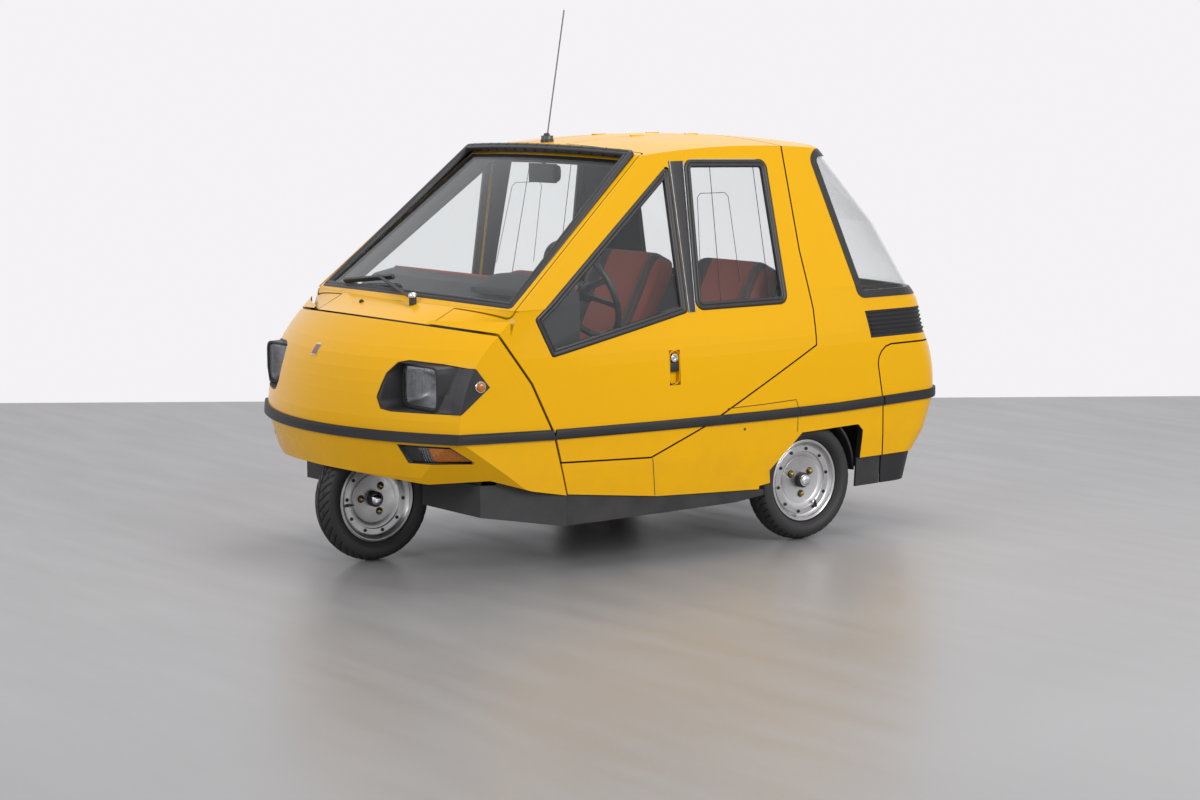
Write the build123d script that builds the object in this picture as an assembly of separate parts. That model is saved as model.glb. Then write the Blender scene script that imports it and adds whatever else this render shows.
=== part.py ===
from build123d import *
import os
from functools import cache
from math import cos, hypot, radians, sin, sqrt

# Three-wheeled two-seat car with gull-wing doors. Front is -Y, the car's left side is +X, up is +Z,
# and the floor it stands on is z = 0. All lengths are in millimetres.

# ---- driving dimensions -------------------------------------------------------------------------
# wheels
front_wheel_y = -956.0
rear_wheel_y = 473.0
rear_wheel_x = 603.0
tyre_radius = 215.0
tyre_width = 104.0
tyre_bead_radius = 126.0
rim_lip_radius = 147.0
rim_half_width = 34.0
rim_wall = 4.0
hub_radius = 27.0
axle_radius = 11.0
bearing_clearance = 0.05
wheelhouse_clearance = 24.0

# body form
belt_z = 901.0                # foot of the windscreen plane
screen_foot_y = -776.5
screen_lean = 1.2             # windscreen's run in Y for each unit of height
side_belt_x = 640.6           # side plane's X at the belt
side_lean = 0.21              # side plane's run in X for each unit of height
side_mid_y = 150.0            # where the sides are widest
roof_top_z = 1450.0
roof_ball_radius = 4200.0
roof_ball_y = 250.0
nose_bow_radius = 1089.0
ridge_depth = 195.0           # nose centre to corner ridge, along Y
seam_y = -1010.5              # seam between nose and cowl, on the middle plane
seam_z = 856.5
seam_fall = 0.194

# panels
panel_gap = 6.0
wall = 26.0
nose_wall = 10.0
lid_wall = 16.0
skirt_wall = 8.0
skirt_inset = 8.0
skirt_bottom_z = 170.0
glass_thickness = 5.0
glass_inset = 5.0
seal_width = 28.0
seal_depth = 15.0
frame_depth = 50.0
frame_rim = 18.0              # painted rim round the windscreen seal
fit_gap = 0.3
spine_half_width = 113.0
cowl_seam_x = 360.0
strip_height = 34.0
strip_depth = 9.0

# hinges
hinge_radius = 3.5
hinge_pin_radius = 2.0
leaf_bite = 1.0               # how far a hinge leaf reaches into its knuckles
hinge_length = 60.0
door_hinge_z = 1446.5
door_hinge_ys = (120.0, 370.0)
lid_hinge_y = 1164.0
lid_hinge_z = 683.0
lid_hinge_xs = (-260.0, 260.0)

# windows
quarter_corner = 12.0
side_corner = 36.0
rear_corner = 42.0

# windscreen: half widths and height above its foot, measured in the plane through its corners
screen_foot_half = 606.0
screen_top_half = 506.0
screen_height = 773.0
screen_bow_radius = 2440.0    # its curve seen from above
screen_foot_dip = 39.0        # how far its bottom and top edges sag below their corners
screen_top_dip = 21.0
screen_header = 22.0          # painted band over it
screen_apron = 26.0           # painted band under it

# frame and floor
rail_x = 300.0
rail_size = 40.0
rail_z = 192.0
rear_rail_z = 320.0
floor_z = 214.0
floor_thickness = 14.0
floor_half_width = 560.0
toe_y = -865.0
bulkhead_y = 256.0
housing_half_width = 206.0
housing_wall = 8.0
housing_top_z = 468.0
housing_back_y = -700.0
shelf_z = 700.0
shelf_front_y = 410.0
shelf_back_y = 1050.0
sheet = 10.0

# steering
steer_y = -940.0
stem_radius = 20.0
stem_top_z = 640.0
head_wall = 8.0
fork_crown_z = 452.0
fork_leg_x = -98.0
fork_leg_size = 26.0
column_angle = 25.0
wheel_centre = (308.0, -272.0, 921.0)
wheel_rim_radius = 185.0
wheel_rim_tube = 12.0
column_radius = 20.0
column_length = 330.0

# seats
seat_x = 308.0
seat_half_width = 210.0
seat_front_y = -225.0
seat_back_y = 222.0
seat_top_z = 430.0
back_top_y = 500.0
back_top_z = 985.0
back_thickness = 95.0

# Lower body rows: height, nose Y on the middle plane, ridge X, side X, tail corner Y, tail Y, corner radius
LOWER_ROWS = [
    (160.0, -1040.0, 622.0, 664.0, 1015.0, 1050.0, 120.0),
    (278.0, -1106.0, 622.0, 674.0, 1049.0, 1085.0, 125.0),
    (352.0, -1155.0, 622.0, 680.0, 1108.0, 1145.0, 130.0),
    (475.0, -1199.0, 622.0, 684.0, 1153.0, 1200.1, 130.0),
    (548.0, -1193.0, 622.0, 683.0, 1153.0, 1198.0, 130.0),
    (660.0, -1165.0, 626.0, 680.0, 1130.0, 1168.0, 130.0),
    (740.0, -1125.0, 631.0, 674.0, 1085.0, 1145.0, 130.0),
    (840.0, -1032.0, 636.0, 654.0, 1058.0, 1138.0, 135.0),
    (901.0, -962.0, 638.0, 640.6, 1000.0, 1103.0, 135.0),
]
# Heights of the rows added between those, where the panels curve smoothly up to the belt
FINE_HEIGHTS = (585.0, 622.0, 700.0, 775.0, 808.0, 870.0)
# Upper body rows: height, tail corner Y, tail Y, corner radius
UPPER_ROWS = [
    (901.0, 1000.0, 1103.0, 135.0),
    (1000.0, 939.0, 1062.0, 130.0),
    (1119.0, 865.0, 1010.0, 120.0),
    (1272.0, 730.0, 900.0, 110.0),
    (1386.0, 630.0, 810.0, 100.0),
    (1470.0, 545.0, 740.0, 90.0),
]

# Seams and openings as (y, z) outlines
NOSE_SEAM = [(-853.5, 826.0), (-728.5, 656.0), (-644.5, 482.0), (-588.5, 274.0)]
DOOR_LOWER = [(-618.0, 381.0), (-249.5, 367.0), (-8.5, 460.0), (500.5, 704.0)]
DOOR_REAR = [(500.5, 836.0), (470.5, 1043.0), (449.5, 1405.0)]
QUARTER_WINDOW = [(-645.5, 738.0), (-708.5, 870.0), (-72.5, 1365.0), (-72.5, 854.0)]
SIDE_WINDOW = [(-35.5, 858.0), (-4.5, 1377.0), (367.5, 1367.0), (385.5, 858.0)]
REAR_WINDOW = [(723.5, 857.0), (561.5, 1397.0), (1300.0, 1397.0), (1300.0, 857.0)]
WHEEL_ARCH = [(287.5, 140.0), (287.5, 205.0), (278.5, 274.0), (427.5, 397.0), (704.5, 402.0),
              (729.5, 378.0), (720.5, 276.0), (712.0, 140.0)]
LID = [(872.0, 686.0), (843.0, 679.0), (820.0, 662.0), (806.0, 640.0), (801.5, 614.0), (826.5, 480.0),
       (833.5, 276.0), (835.0, 150.0), (1300.0, 150.0), (1300.0, 686.0)]
VENT = [(746.0, 811.0), (770.0, 712.0), (1110.0, 712.0), (1110.0, 811.0)]
NOSE_LIP = [(-1300.0, 354.0), (-1150.0, 352.0), (-1021.0, 327.0), (-860.0, 339.0),
            (-724.0, 296.0), (-588.5, 270.0)]
SILL_LINE = [(-588.5, 274.0), (-215.5, 232.0), (227.5, 211.0), (287.5, 205.0)]
SKIRT_LINE = [(262.0, 186.0), (140.0, 172.0), (-588.5, 164.0)]
STRIP_LINE = [(-1300.0, 492.0), (-1005.0, 492.0), (-650.0, 482.0), (-240.0, 478.0),
              (250.0, 474.0), (600.0, 474.0), (850.0, 479.0), (1300.0, 488.0)]
LAMP_RECESS = [(404.0, 740.0), (362.0, 731.0), (334.0, 693.0), (321.0, 615.0), (344.0, 579.0),
               (385.0, 572.0), (612.0, 572.0), (612.0, 722.0), (525.0, 733.0)]
LOW_LAMP = [(415.0, 466.0), (436.0, 402.0), (604.0, 402.0), (592.0, 466.0)]
lamp_centre = (452.0, 653.0)
lamp_size = (196.0, 134.0)
lamp_corner = 20.0
lamp_face_y = -1037.0
lamp_back_y = -935.0
housing_rim = 6.0
plate_inset = 3.0


def flat_outline(points, grow=0.0, corner=0.0):
    """Face over a closed outline of two-number points, moved outward by grow, then rounded."""
    face = make_face(Polyline([(a, b) for a, b in points], close=True))
    if grow:
        face = offset(face, amount=grow, kind=Kind.INTERSECTION)
    return fillet(face.vertices(), corner) if corner else face


def side_prism(points, grow=0.0, low=-900.0, high=900.0, corner=0.0):
    """Prism along X over a (y, z) outline."""
    face = Plane.YZ * flat_outline(points, grow, corner)
    return Pos(low, 0, 0) * extrude(face, amount=high - low, dir=(1, 0, 0))


def window_prism(points, corner, grow=0.0):
    """Prism along X over a window's outline, its corners kept concentric as it grows."""
    return side_prism(points, grow, corner=max(0.0, corner + grow))


def front_prism(points, grow=0.0, low=-1400.0, high=-930.0):
    """Prism along Y over an (x, z) outline."""
    face = Plane.XZ * flat_outline(points, grow)
    return Pos(0, low, 0) * extrude(face, amount=high - low, dir=(0, 1, 0))


def block(x, y, z):
    """Box between low and high values on each axis."""
    centre = [(pair[0] + pair[1]) / 2 for pair in (x, y, z)]
    return Pos(*centre) * Box(x[1] - x[0], y[1] - y[0], z[1] - z[0])


def tube_x(radius, x, y, z):
    """Cylinder along X between two X values."""
    return Pos((x[0] + x[1]) / 2, y, z) * Rot(0, 90, 0) * Cylinder(radius, x[1] - x[0])


def tube_y(radius, x, y, z):
    """Cylinder along Y between two Y values."""
    return Pos(x, (y[0] + y[1]) / 2, z) * Rot(90, 0, 0) * Cylinder(radius, y[1] - y[0])


def mirrored(solid):
    """The same shape on the car's other side."""
    return mirror(solid, about=Plane.YZ)


def pair(solid):
    """A shape and its mirror image, as one compound."""
    return Compound(children=list(solid.solids()) + list(mirrored(solid).solids()))


# ---- outer form ---------------------------------------------------------------------------------
def section(z, front, ridge, side_mid, tail_corner, tail, radius):
    """Face at one height: bowed front, sides bowed or straight, rounded tail."""
    fx, fy = ridge
    tx, ty = tail_corner
    nose = ThreePointArc((-fx, fy, z), (0, front, z), (fx, fy, z))
    if side_mid is None:
        left = Line((fx, fy, z), (tx, ty, z))
        right = Line((-tx, ty, z), (-fx, fy, z))
    else:
        left = ThreePointArc((fx, fy, z), (side_mid, side_mid_y, z), (tx, ty, z))
        right = ThreePointArc((-tx, ty, z), (-side_mid, side_mid_y, z), (-fx, fy, z))
    back = ThreePointArc((tx, ty, z), (0, tail, z), (-tx, ty, z))
    face = make_face(Wire([nose, left, back, right]))
    corners = [vertex for vertex in face.vertices() if vertex.Y > side_mid_y]
    return fillet(corners, radius).face()


def slope_at(rows, i, column):
    """Smooth curve's slope through a row: the mean of its two neighbouring slopes, flat at a turn."""
    ends = [(rows[j + 1][column] - rows[j][column]) / (rows[j + 1][0] - rows[j][0])
            for j in (i - 1, i) if 0 <= j < len(rows) - 1]
    if len(ends) == 2 and ends[0] * ends[1] <= 0:
        return 0.0
    return sum(ends) / len(ends)


def fine_rows(rows, heights):
    """Rows with more added at given heights, on a smooth curve through them."""
    added = []
    for z in heights:
        i = max(j for j in range(len(rows) - 1) if rows[j][0] < z)
        low, high = rows[i], rows[i + 1]
        run = high[0] - low[0]
        t = (z - low[0]) / run
        row = [z]
        for column in range(1, len(low)):
            row.append(low[column] * (1 + 2 * t) * (1 - t) ** 2 + high[column] * t * t * (3 - 2 * t)
                       + run * t * (1 - t) * (slope_at(rows, i, column) * (1 - t)
                                              - slope_at(rows, i + 1, column) * t))
        added.append(tuple(row))
    return sorted(rows + added)


@cache
def lower_form(inset):
    """Lower body with every side moved inward by an inset."""
    faces = []
    for z, nose, ridge_x, side_x, corner_y, tail, radius in fine_rows(LOWER_ROWS, FINE_HEIGHTS):
        ridge_y = nose + ridge_depth
        bow = (side_x - ridge_x) / (ridge_y - side_mid_y) ** 2
        corner_x = side_x - bow * (corner_y - side_mid_y) ** 2
        slope = 1.12 * inset
        faces.append(section(z, nose + slope, (ridge_x - inset, ridge_y + slope), side_x - inset,
                             (corner_x - inset, corner_y - inset), tail - inset, radius - inset))
    return loft(faces, ruled=True)


def screen_bow(half_width):
    """How far the windscreen's curve falls back over a half width."""
    return screen_bow_radius - sqrt(screen_bow_radius ** 2 - half_width ** 2)


@cache
def upper_form(inset):
    """Cabin above the belt with every side moved inward by an inset."""
    faces = []
    for z, corner_y, tail, radius in UPPER_ROWS:
        x = side_belt_x - side_lean * (z - belt_z) - inset * hypot(1, side_lean)
        y = screen_foot_y + screen_lean * (z - belt_z) + inset * hypot(1, screen_lean)
        slope = 1.2 * inset
        faces.append(section(z, y - screen_bow(x), (x, y), None, (x, corner_y - slope), tail - slope,
                             radius - inset))
    ball = Pos(0, roof_ball_y, roof_top_z - roof_ball_radius) * Sphere(roof_ball_radius - inset)
    return loft(faces, ruled=True) & ball


def over_cowl(inset):
    """What lies above the cowl, which is ruled from the nose seam to the windscreen's foot."""
    reach = 720.0
    bow = nose_bow_radius - sqrt(nose_bow_radius ** 2 - reach ** 2)
    end_y = seam_y + bow
    end_z = seam_z - seam_fall * bow
    seam = ThreePointArc((-reach, end_y, end_z), (0, seam_y, seam_z), (reach, end_y, end_z))
    foot_y = screen_foot_y + 1 - screen_bow(side_belt_x)
    foot_end = foot_y + screen_bow(reach)
    foot = ThreePointArc((-reach, foot_end, belt_z), (0, foot_y, belt_z), (reach, foot_end, belt_z))
    surface = Face.make_surface_from_curves(seam.edge(), foot.edge())
    return Pos(0, 0.6 * inset, -inset) * Solid.extrude(surface, Vector(0, 0, 300))


@cache
def form(inset):
    """Whole outer form of cabin and tail, moved inward by an inset."""
    return (lower_form(inset) - over_cowl(inset)) + upper_form(inset)


@cache
def skin(outer, inner):
    """Layer of the outer form between two insets."""
    return form(outer) - form(inner)


def layer(region, outer, inner, shape=form):
    """The part of a region that lies between two insets of a form."""
    return (region & shape(outer)) - shape(inner)


def seam_plane_z(y):
    """Height of the cutting plane between nose and cowl."""
    return seam_z - seam_fall * (y - seam_y)


far = 1400.0
nose_region = [(-far, seam_plane_z(-far))] + NOSE_SEAM + [(-570.0, 100.0), (-far, 100.0)]
door_region = ([(seam_y - 200.0, seam_plane_z(seam_y - 200.0))] + NOSE_SEAM[:3] + DOOR_LOWER + DOOR_REAR
               + [(447.0, 1600.0), (seam_y - 200.0, 1600.0)])
under_body = [(-far, 100.0)] + [(-far, NOSE_LIP[0][1])] + NOSE_LIP[1:5] + SILL_LINE + [(287.5, 100.0)]

# ---- windscreen plane ---------------------------------------------------------------------------
screen_norm = hypot(1, screen_lean)
screen_plane = Plane(origin=(0, screen_foot_y, belt_z), x_dir=(1, 0, 0),
                     z_dir=(0, -1 / screen_norm, screen_lean / screen_norm))


def screen_region(grow, low=None, high=None, corner=16.0, inner=52.0):
    """Prism square to the windscreen's plane over its outline, moved outward by grow, or by low and high
    at its foot and top."""
    low = grow if low is None else low
    high = grow if high is None else high
    taper = (screen_foot_half - screen_top_half) / screen_height
    foot = -low
    top = screen_height + high
    foot_x = screen_foot_half + grow - taper * foot
    top_x = screen_foot_half + grow - taper * top
    outline = make_face(Wire([
        ThreePointArc((-foot_x, foot), (0, foot - screen_foot_dip), (foot_x, foot)),
        Line((foot_x, foot), (top_x, top)),
        ThreePointArc((top_x, top), (0, top - screen_top_dip), (-top_x, top)),
        Line((-top_x, top), (-foot_x, foot))]))
    outline = fillet(outline.vertices(), corner)
    return extrude(screen_plane.offset(-inner) * outline, amount=inner + 160.0, dir=tuple(screen_plane.z_dir))


fixed_screen = screen_region(frame_rim, screen_apron, screen_header, 30.0)
fixed_screen_clear = screen_region(frame_rim + panel_gap, screen_apron + panel_gap, screen_header + panel_gap,
                                   30.0 + panel_gap, 52.0 + panel_gap)
cowl_block = block((-cowl_seam_x, cowl_seam_x), (-far, screen_foot_y), (600, 930))
cowl_clear = block((-cowl_seam_x - panel_gap, cowl_seam_x + panel_gap), (-far, screen_foot_y), (600, 930))
spine_block = block((-spine_half_width, spine_half_width), (-240, 520), (1350, 1500))
spine_clear = block((-spine_half_width - panel_gap, spine_half_width + panel_gap), (-240, 520), (1350, 1500))

parts = {}

# ---- windscreen frame, glass and seal -----------------------------------------------------------
screen_opening = screen_region(4.0 - seal_width, corner=10.0, inner=120.0)
screen_rebate = screen_region(0) - form(seal_depth)
cowl_panel = layer(cowl_block, 0, wall) - side_prism(nose_region, panel_gap / 2)
screen_surround = (layer(fixed_screen, 0, frame_depth) + cowl_panel) - screen_opening - screen_rebate
parts["windscreen_frame"] = max(screen_surround.solids(), key=lambda piece: piece.volume)
screen_pane = screen_region(-seal_width, corner=8.0)
parts["windscreen_seal"] = layer(screen_region(-fit_gap) - screen_pane, -2, seal_depth)
parts["windscreen"] = layer(screen_pane, glass_inset, glass_inset + glass_thickness)

# ---- body shell: spine, rear roof, tail sides and sills -----------------------------------------
wheelhouse_radius = tyre_radius + wheelhouse_clearance
wheel_space = tube_x(wheelhouse_radius, (rear_wheel_x - 90, rear_wheel_x + 66), rear_wheel_y, tyre_radius)
shell = skin(0, wall)
body = shell - side_prism(door_region) - side_prism(nose_region, panel_gap / 2) - side_prism(LID)
body = body + ((shell & spine_block) - fixed_screen)
body = body - window_prism(REAR_WINDOW, rear_corner) - side_prism(WHEEL_ARCH) - side_prism(under_body)
body = body - side_prism(VENT, 0.0, 380, 900) - side_prism(VENT, 0.0, -900, -380)
body = body - pair(wheel_space)
body = body - block((-900, 900), (690, 1300), (100, 276))
parts["body_shell"] = body

# ---- rear window and vents ----------------------------------------------------------------------
window_band = window_prism(REAR_WINDOW, rear_corner, -fit_gap)
window_band = window_band - window_prism(REAR_WINDOW, rear_corner, -seal_width)
parts["rear_window_seal"] = layer(window_band, -2, seal_depth)
parts["rear_window"] = layer(window_prism(REAR_WINDOW, rear_corner, -seal_width), glass_inset,
                             glass_inset + glass_thickness)
vent_side = side_prism(VENT, -fit_gap, 380 + fit_gap, 900)
parts["vent_grilles"] = pair(layer(vent_side, 2, 14))

# ---- nose ---------------------------------------------------------------------------------------
facet_points = (Vector(622, -1005, 487), Vector(457, -1031, 327), Vector(600, -848, 339))
facet_normal = (facet_points[1] - facet_points[0]).cross(facet_points[2] - facet_points[0]).normalized()


def facet_cut(inset):
    """Space outside the slanted facet below the nose's corner."""
    origin = facet_points[0] - facet_normal * inset
    plane = Plane(origin=origin, z_dir=facet_normal)
    return extrude(plane * Rectangle(1600, 1600), amount=600)


@cache
def nose_form(inset):
    """Nose moulding's form: the lower body with its two slanted facets."""
    cut = facet_cut(inset)
    return lower_form(inset) - cut - mirrored(cut)


lamp_hole = front_prism(LAMP_RECESS)
low_lamp_hole = front_prism(LOW_LAMP)
nose = (nose_form(0) - nose_form(nose_wall)) & side_prism(nose_region, -panel_gap / 2)
nose = nose - side_prism([(-far, 100)] + NOSE_LIP + [(-560, 270), (-560, 100)])
nose = nose - lamp_hole - mirrored(lamp_hole) - low_lamp_hole - mirrored(low_lamp_hole)

x_lamp, z_lamp = lamp_centre
half_w, half_h = lamp_size[0] / 2, lamp_size[1] / 2


def lamp_tube(grow, front, back):
    """Box along Y about the headlamp, its sides moved outward by grow and its long edges rounded."""
    tube = block((x_lamp - half_w - grow, x_lamp + half_w + grow), (front, back),
                 (z_lamp - half_h - grow, z_lamp + half_h + grow))
    return fillet(tube.edges().filter_by(Axis.Y), lamp_corner + grow)


rim_out = housing_rim + fit_gap
shroud = ((lamp_tube(rim_out, -far, lamp_back_y) & nose_form(plate_inset))
          + lamp_tube(rim_out, lamp_face_y - housing_rim, lamp_back_y))
shroud_clear = lamp_tube(rim_out + fit_gap, -far, lamp_back_y)
parts["nose_shell"] = nose - shroud_clear - mirrored(shroud_clear)
lamp_bore = lamp_tube(fit_gap, -far, lamp_back_y + 50)
plate = layer(front_prism(LAMP_RECESS, -fit_gap), plate_inset, plate_inset + 8, nose_form)
bezel = (plate + shroud) - lamp_bore
low_tray = layer(front_prism(LOW_LAMP, -fit_gap), 22, 27, nose_form)
low_edge = layer(front_prism(LOW_LAMP, -fit_gap) - front_prism(LOW_LAMP, -4), 0, 27, nose_form)
parts["headlamp_bezels"] = pair(bezel) + pair(low_tray + low_edge)
parts["headlamps"] = pair(lamp_tube(0, lamp_face_y, lamp_back_y))
parts["bumper_lamps"] = pair(layer(front_prism(LOW_LAMP, -6), 6, 21.7, nose_form))

# ---- bumper strips ------------------------------------------------------------------------------
strip_band = ([(y, z + strip_height / 2) for y, z in STRIP_LINE]
              + [(y, z - strip_height / 2) for y, z in reversed(STRIP_LINE)])
strip_ring = layer(side_prism(strip_band), -strip_depth, -fit_gap, lower_form)
nose_strip = strip_ring & side_prism(nose_region, -panel_gap / 2)
body_strip = strip_ring - side_prism(nose_region, 0) - side_prism(door_region, 0) - side_prism(LID)
parts["bumper_strips"] = Compound(children=list(nose_strip.solids()) + list(body_strip.solids()))

# ---- doors --------------------------------------------------------------------------------------
left_half = block((-2, 900), (-far, far), (100, 1700))
door_space = side_prism(door_region, -panel_gap) & left_half
door = (shell & door_space) - fixed_screen_clear - cowl_clear - spine_clear
window_holes = window_prism(QUARTER_WINDOW, quarter_corner) + window_prism(SIDE_WINDOW, side_corner)
handle_y, handle_z = -148.0, 672.0
handle_half_width, handle_half_height = 23.0, 60.0
side_x_handle = 674.0
handle_pocket = block((side_x_handle - 16, 900), (handle_y - handle_half_width, handle_y + handle_half_width),
                      (handle_z - handle_half_height, handle_z + handle_half_height))
door = door - window_holes - handle_pocket


def door_hinge(y):
    """One roof hinge: the door's two knuckles with their leaves, and the roof's knuckle, leaf and pin."""
    hx = spine_half_width + panel_gap / 2
    sixth = hinge_length / 6
    whole = (y - hinge_length / 2, y + hinge_length / 2)
    leaf_z = (door_hinge_z - 18, door_hinge_z - hinge_radius + leaf_bite)
    knuckle = tube_y(hinge_radius, hx, whole, door_hinge_z)
    middle = block((0, 400), (y - sixth, y + sixth), (1300, 1600))
    middle_clear = block((0, 400), (y - sixth - fit_gap, y + sixth + fit_gap), (1300, 1600))
    bore = tube_y(hinge_pin_radius + bearing_clearance, hx, whole, door_hinge_z)
    door_leaf = block((hx, hx + 30), whole, leaf_z)
    roof_leaf = block((hx - 30, hx), whole, leaf_z)
    on_door = (knuckle + door_leaf) - middle_clear - bore
    on_roof = ((knuckle + roof_leaf) & middle) + tube_y(hinge_pin_radius, hx, whole, door_hinge_z)
    return on_door, on_roof


for hinge_y in door_hinge_ys:
    on_door, on_roof = door_hinge(hinge_y)
    notch_half = hinge_length / 2 + fit_gap
    notch = tube_y(hinge_radius + fit_gap, spine_half_width + panel_gap / 2,
                   (hinge_y - notch_half, hinge_y + notch_half), door_hinge_z)
    door = (door - notch) + on_door
    roof = parts["body_shell"] - notch - mirrored(notch)
    parts["body_shell"] = roof + on_roof + mirrored(on_roof)

window_panes = (window_prism(QUARTER_WINDOW, quarter_corner, -seal_width)
                + window_prism(SIDE_WINDOW, side_corner, -seal_width))
window_rings = (window_prism(QUARTER_WINDOW, quarter_corner, -fit_gap)
                + window_prism(SIDE_WINDOW, side_corner, -fit_gap)) - window_panes
door_seals = layer(window_rings & left_half, -2, seal_depth)
door_glass = layer(window_panes & left_half, glass_inset, glass_inset + glass_thickness)
door_strip = (strip_ring & side_prism(door_region, -panel_gap / 2)) & left_half
handle = block((side_x_handle - 16, side_x_handle - 4),
               (handle_y - handle_half_width + fit_gap, handle_y + handle_half_width - fit_gap),
               (handle_z - handle_half_height + fit_gap, handle_z + handle_half_height - fit_gap))
handle = handle + block((side_x_handle - 5, side_x_handle + 8), (handle_y - 12, handle_y + 12),
                        (handle_z + 8, handle_z + 48))
door_pieces = {"": door, "_seals": door_seals, "_glass": door_glass, "_strip": door_strip, "_handle": handle}
for suffix, piece in door_pieces.items():
    parts["door_left" + suffix] = piece
    parts["door_right" + suffix] = mirrored(piece)

# ---- rear lid -----------------------------------------------------------------------------------
lid_space = side_prism(LID, -panel_gap)
lid = layer(lid_space, 0, lid_wall, lower_form) - block((-900, 900), (700, 1300), (100, 276))
plate_y = 1196.0
plate_holder = block((-265, 265), (1150, plate_y), (350, 462)) - lower_form(lid_wall - 2)
plate_bolt_radius = 3.0
plate_bolt_x = 150.0
plate_bolt_z = 406.0
lid = lid + plate_holder
for side in (-1, 1):
    lid = lid - tube_y(plate_bolt_radius, side * plate_bolt_x, (1000, 1300), plate_bolt_z)
lid_strip = strip_ring & lid_space
lid_skirt = layer(lid_space & block((-900, 900), (700, 1300), (skirt_bottom_z, 276)), skirt_inset,
                  skirt_inset + skirt_wall, lower_form)
lamp_x, lamp_z = 470.0, 600.0
tail_lamp = block((lamp_x - 60, lamp_x + 60), (1080, 1300), (lamp_z - 32, lamp_z + 32))
tail_lamp = (tail_lamp & lower_form(-12)) - lower_form(-fit_gap)
sixth = hinge_length / 6
leaf_near = hinge_radius - leaf_bite
for hinge_x in lid_hinge_xs:
    whole = (hinge_x - hinge_length / 2, hinge_x + hinge_length / 2)
    middle = block((hinge_x - sixth, hinge_x + sixth), (900, 1300), (600, 760))
    middle_clear = block((hinge_x - sixth - fit_gap, hinge_x + sixth + fit_gap), (900, 1300), (600, 760))
    knuckle = tube_x(hinge_radius, whole, lid_hinge_y, lid_hinge_z)
    bore = tube_x(hinge_pin_radius + bearing_clearance, whole, lid_hinge_y, lid_hinge_z)
    pin = tube_x(hinge_pin_radius, whole, lid_hinge_y, lid_hinge_z)
    low_leaf = block(whole, (lid_hinge_y - 34, lid_hinge_y), (lid_hinge_z - 28, lid_hinge_z - leaf_near))
    high_leaf = block(whole, (lid_hinge_y - 44, lid_hinge_y), (lid_hinge_z + leaf_near, lid_hinge_z + 28))
    lid = lid + ((knuckle + low_leaf) - middle_clear - bore)
    parts["body_shell"] = parts["body_shell"] + ((knuckle + high_leaf) & middle) + pin
parts["rear_lid"] = lid
parts["lid_strip"] = Compound(children=list(lid_strip.solids()) + list(lid_skirt.solids()))
parts["tail_lamps"] = pair(tail_lamp)

# ---- skirts -------------------------------------------------------------------------------------
skirt_top = [(-588.5, 274.0)] + SILL_LINE[1:3] + [(262.0, 207.0)]
side_skirt_region = skirt_top + SKIRT_LINE
skirt_depths = (skirt_inset, skirt_inset + skirt_wall)
side_skirt = layer(side_prism(side_skirt_region, -fit_gap, 300, 900), *skirt_depths, lower_form)
rear_skirt = layer(block((300, 900), (712, LID[6][0] - 2), (skirt_bottom_z, 276 - fit_gap)), *skirt_depths,
                   lower_form)
dam_y = toe_y - sheet - fit_gap
dam_path = [(644.0, -590.0), (564.0, dam_y - skirt_wall), (212.0, dam_y - skirt_wall), (212.0, dam_y),
            (558.0, dam_y), (636.0, -590.0)]
dam = Pos(0, 0, 150) * extrude(flat_outline(dam_path), amount=170)
dam = dam - side_prism([(-588.0, 164.0), (-900.0, 216.0), (-900.0, 100.0), (-588.0, 100.0)])
dam = dam - side_prism([(-588.0, 268.0), (-724.0, 293.0), (-860.0, 330.0),
                         (-900, 330), (-900, 500), (-588, 500)])
parts["skirts"] = Compound(children=list(pair(side_skirt).solids()) + list(pair(rear_skirt).solids())
                           + list(pair(dam).solids()))

# ---- wheels -------------------------------------------------------------------------------------
def wheel_rim():
    """Rim turned about X: barrel, two lips, disc and hub, with the outer face towards +X."""
    w, lip = rim_half_width, rim_lip_radius
    barrel = [(-w, lip), (-w, lip - rim_wall), (-w + rim_wall, tyre_bead_radius - 3), (w - rim_wall,
              tyre_bead_radius - 3), (w, lip - rim_wall), (w, lip), (w - rim_wall - 1, lip),
              (w - rim_wall - 1, tyre_bead_radius), (-w + rim_wall + 1, tyre_bead_radius),
              (-w + rim_wall + 1, lip)]
    disc = [(4, hub_radius - 4), (4, 84), (12, 104), (12, tyre_bead_radius - 1), (18, tyre_bead_radius - 1),
            (18, 104), (10, 84), (10, hub_radius - 4)]
    inner = axle_radius + bearing_clearance
    hub = [(-28, inner), (-28, hub_radius), (w - 2, hub_radius), (w - 2, inner)]
    ring = revolve(flat_outline(barrel), axis=Axis.X) + revolve(flat_outline(disc), axis=Axis.X)
    return ring + revolve(flat_outline(hub), axis=Axis.X)


def wheel_tyre():
    """Tyre turned about X: tread, rounded shoulders and sidewalls down to the beads."""
    half = tyre_width / 2
    bead = rim_half_width - rim_wall - 1.3
    crown = tyre_radius
    outer = make_face(Wire([
        Line((-bead, tyre_bead_radius + 0.3), (-bead, rim_lip_radius + 3)),
        ThreePointArc((-bead, rim_lip_radius + 3), (-half, 172), (-half + 9, crown - 12)),
        ThreePointArc((-half + 9, crown - 12), (0, crown), (half - 9, crown - 12)),
        ThreePointArc((half - 9, crown - 12), (half, 172), (bead, rim_lip_radius + 3)),
        Line((bead, rim_lip_radius + 3), (bead, tyre_bead_radius + 0.3)),
        Line((bead, tyre_bead_radius + 0.3), (-bead, tyre_bead_radius + 0.3))]))
    return revolve(outer, axis=Axis.X)


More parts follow.
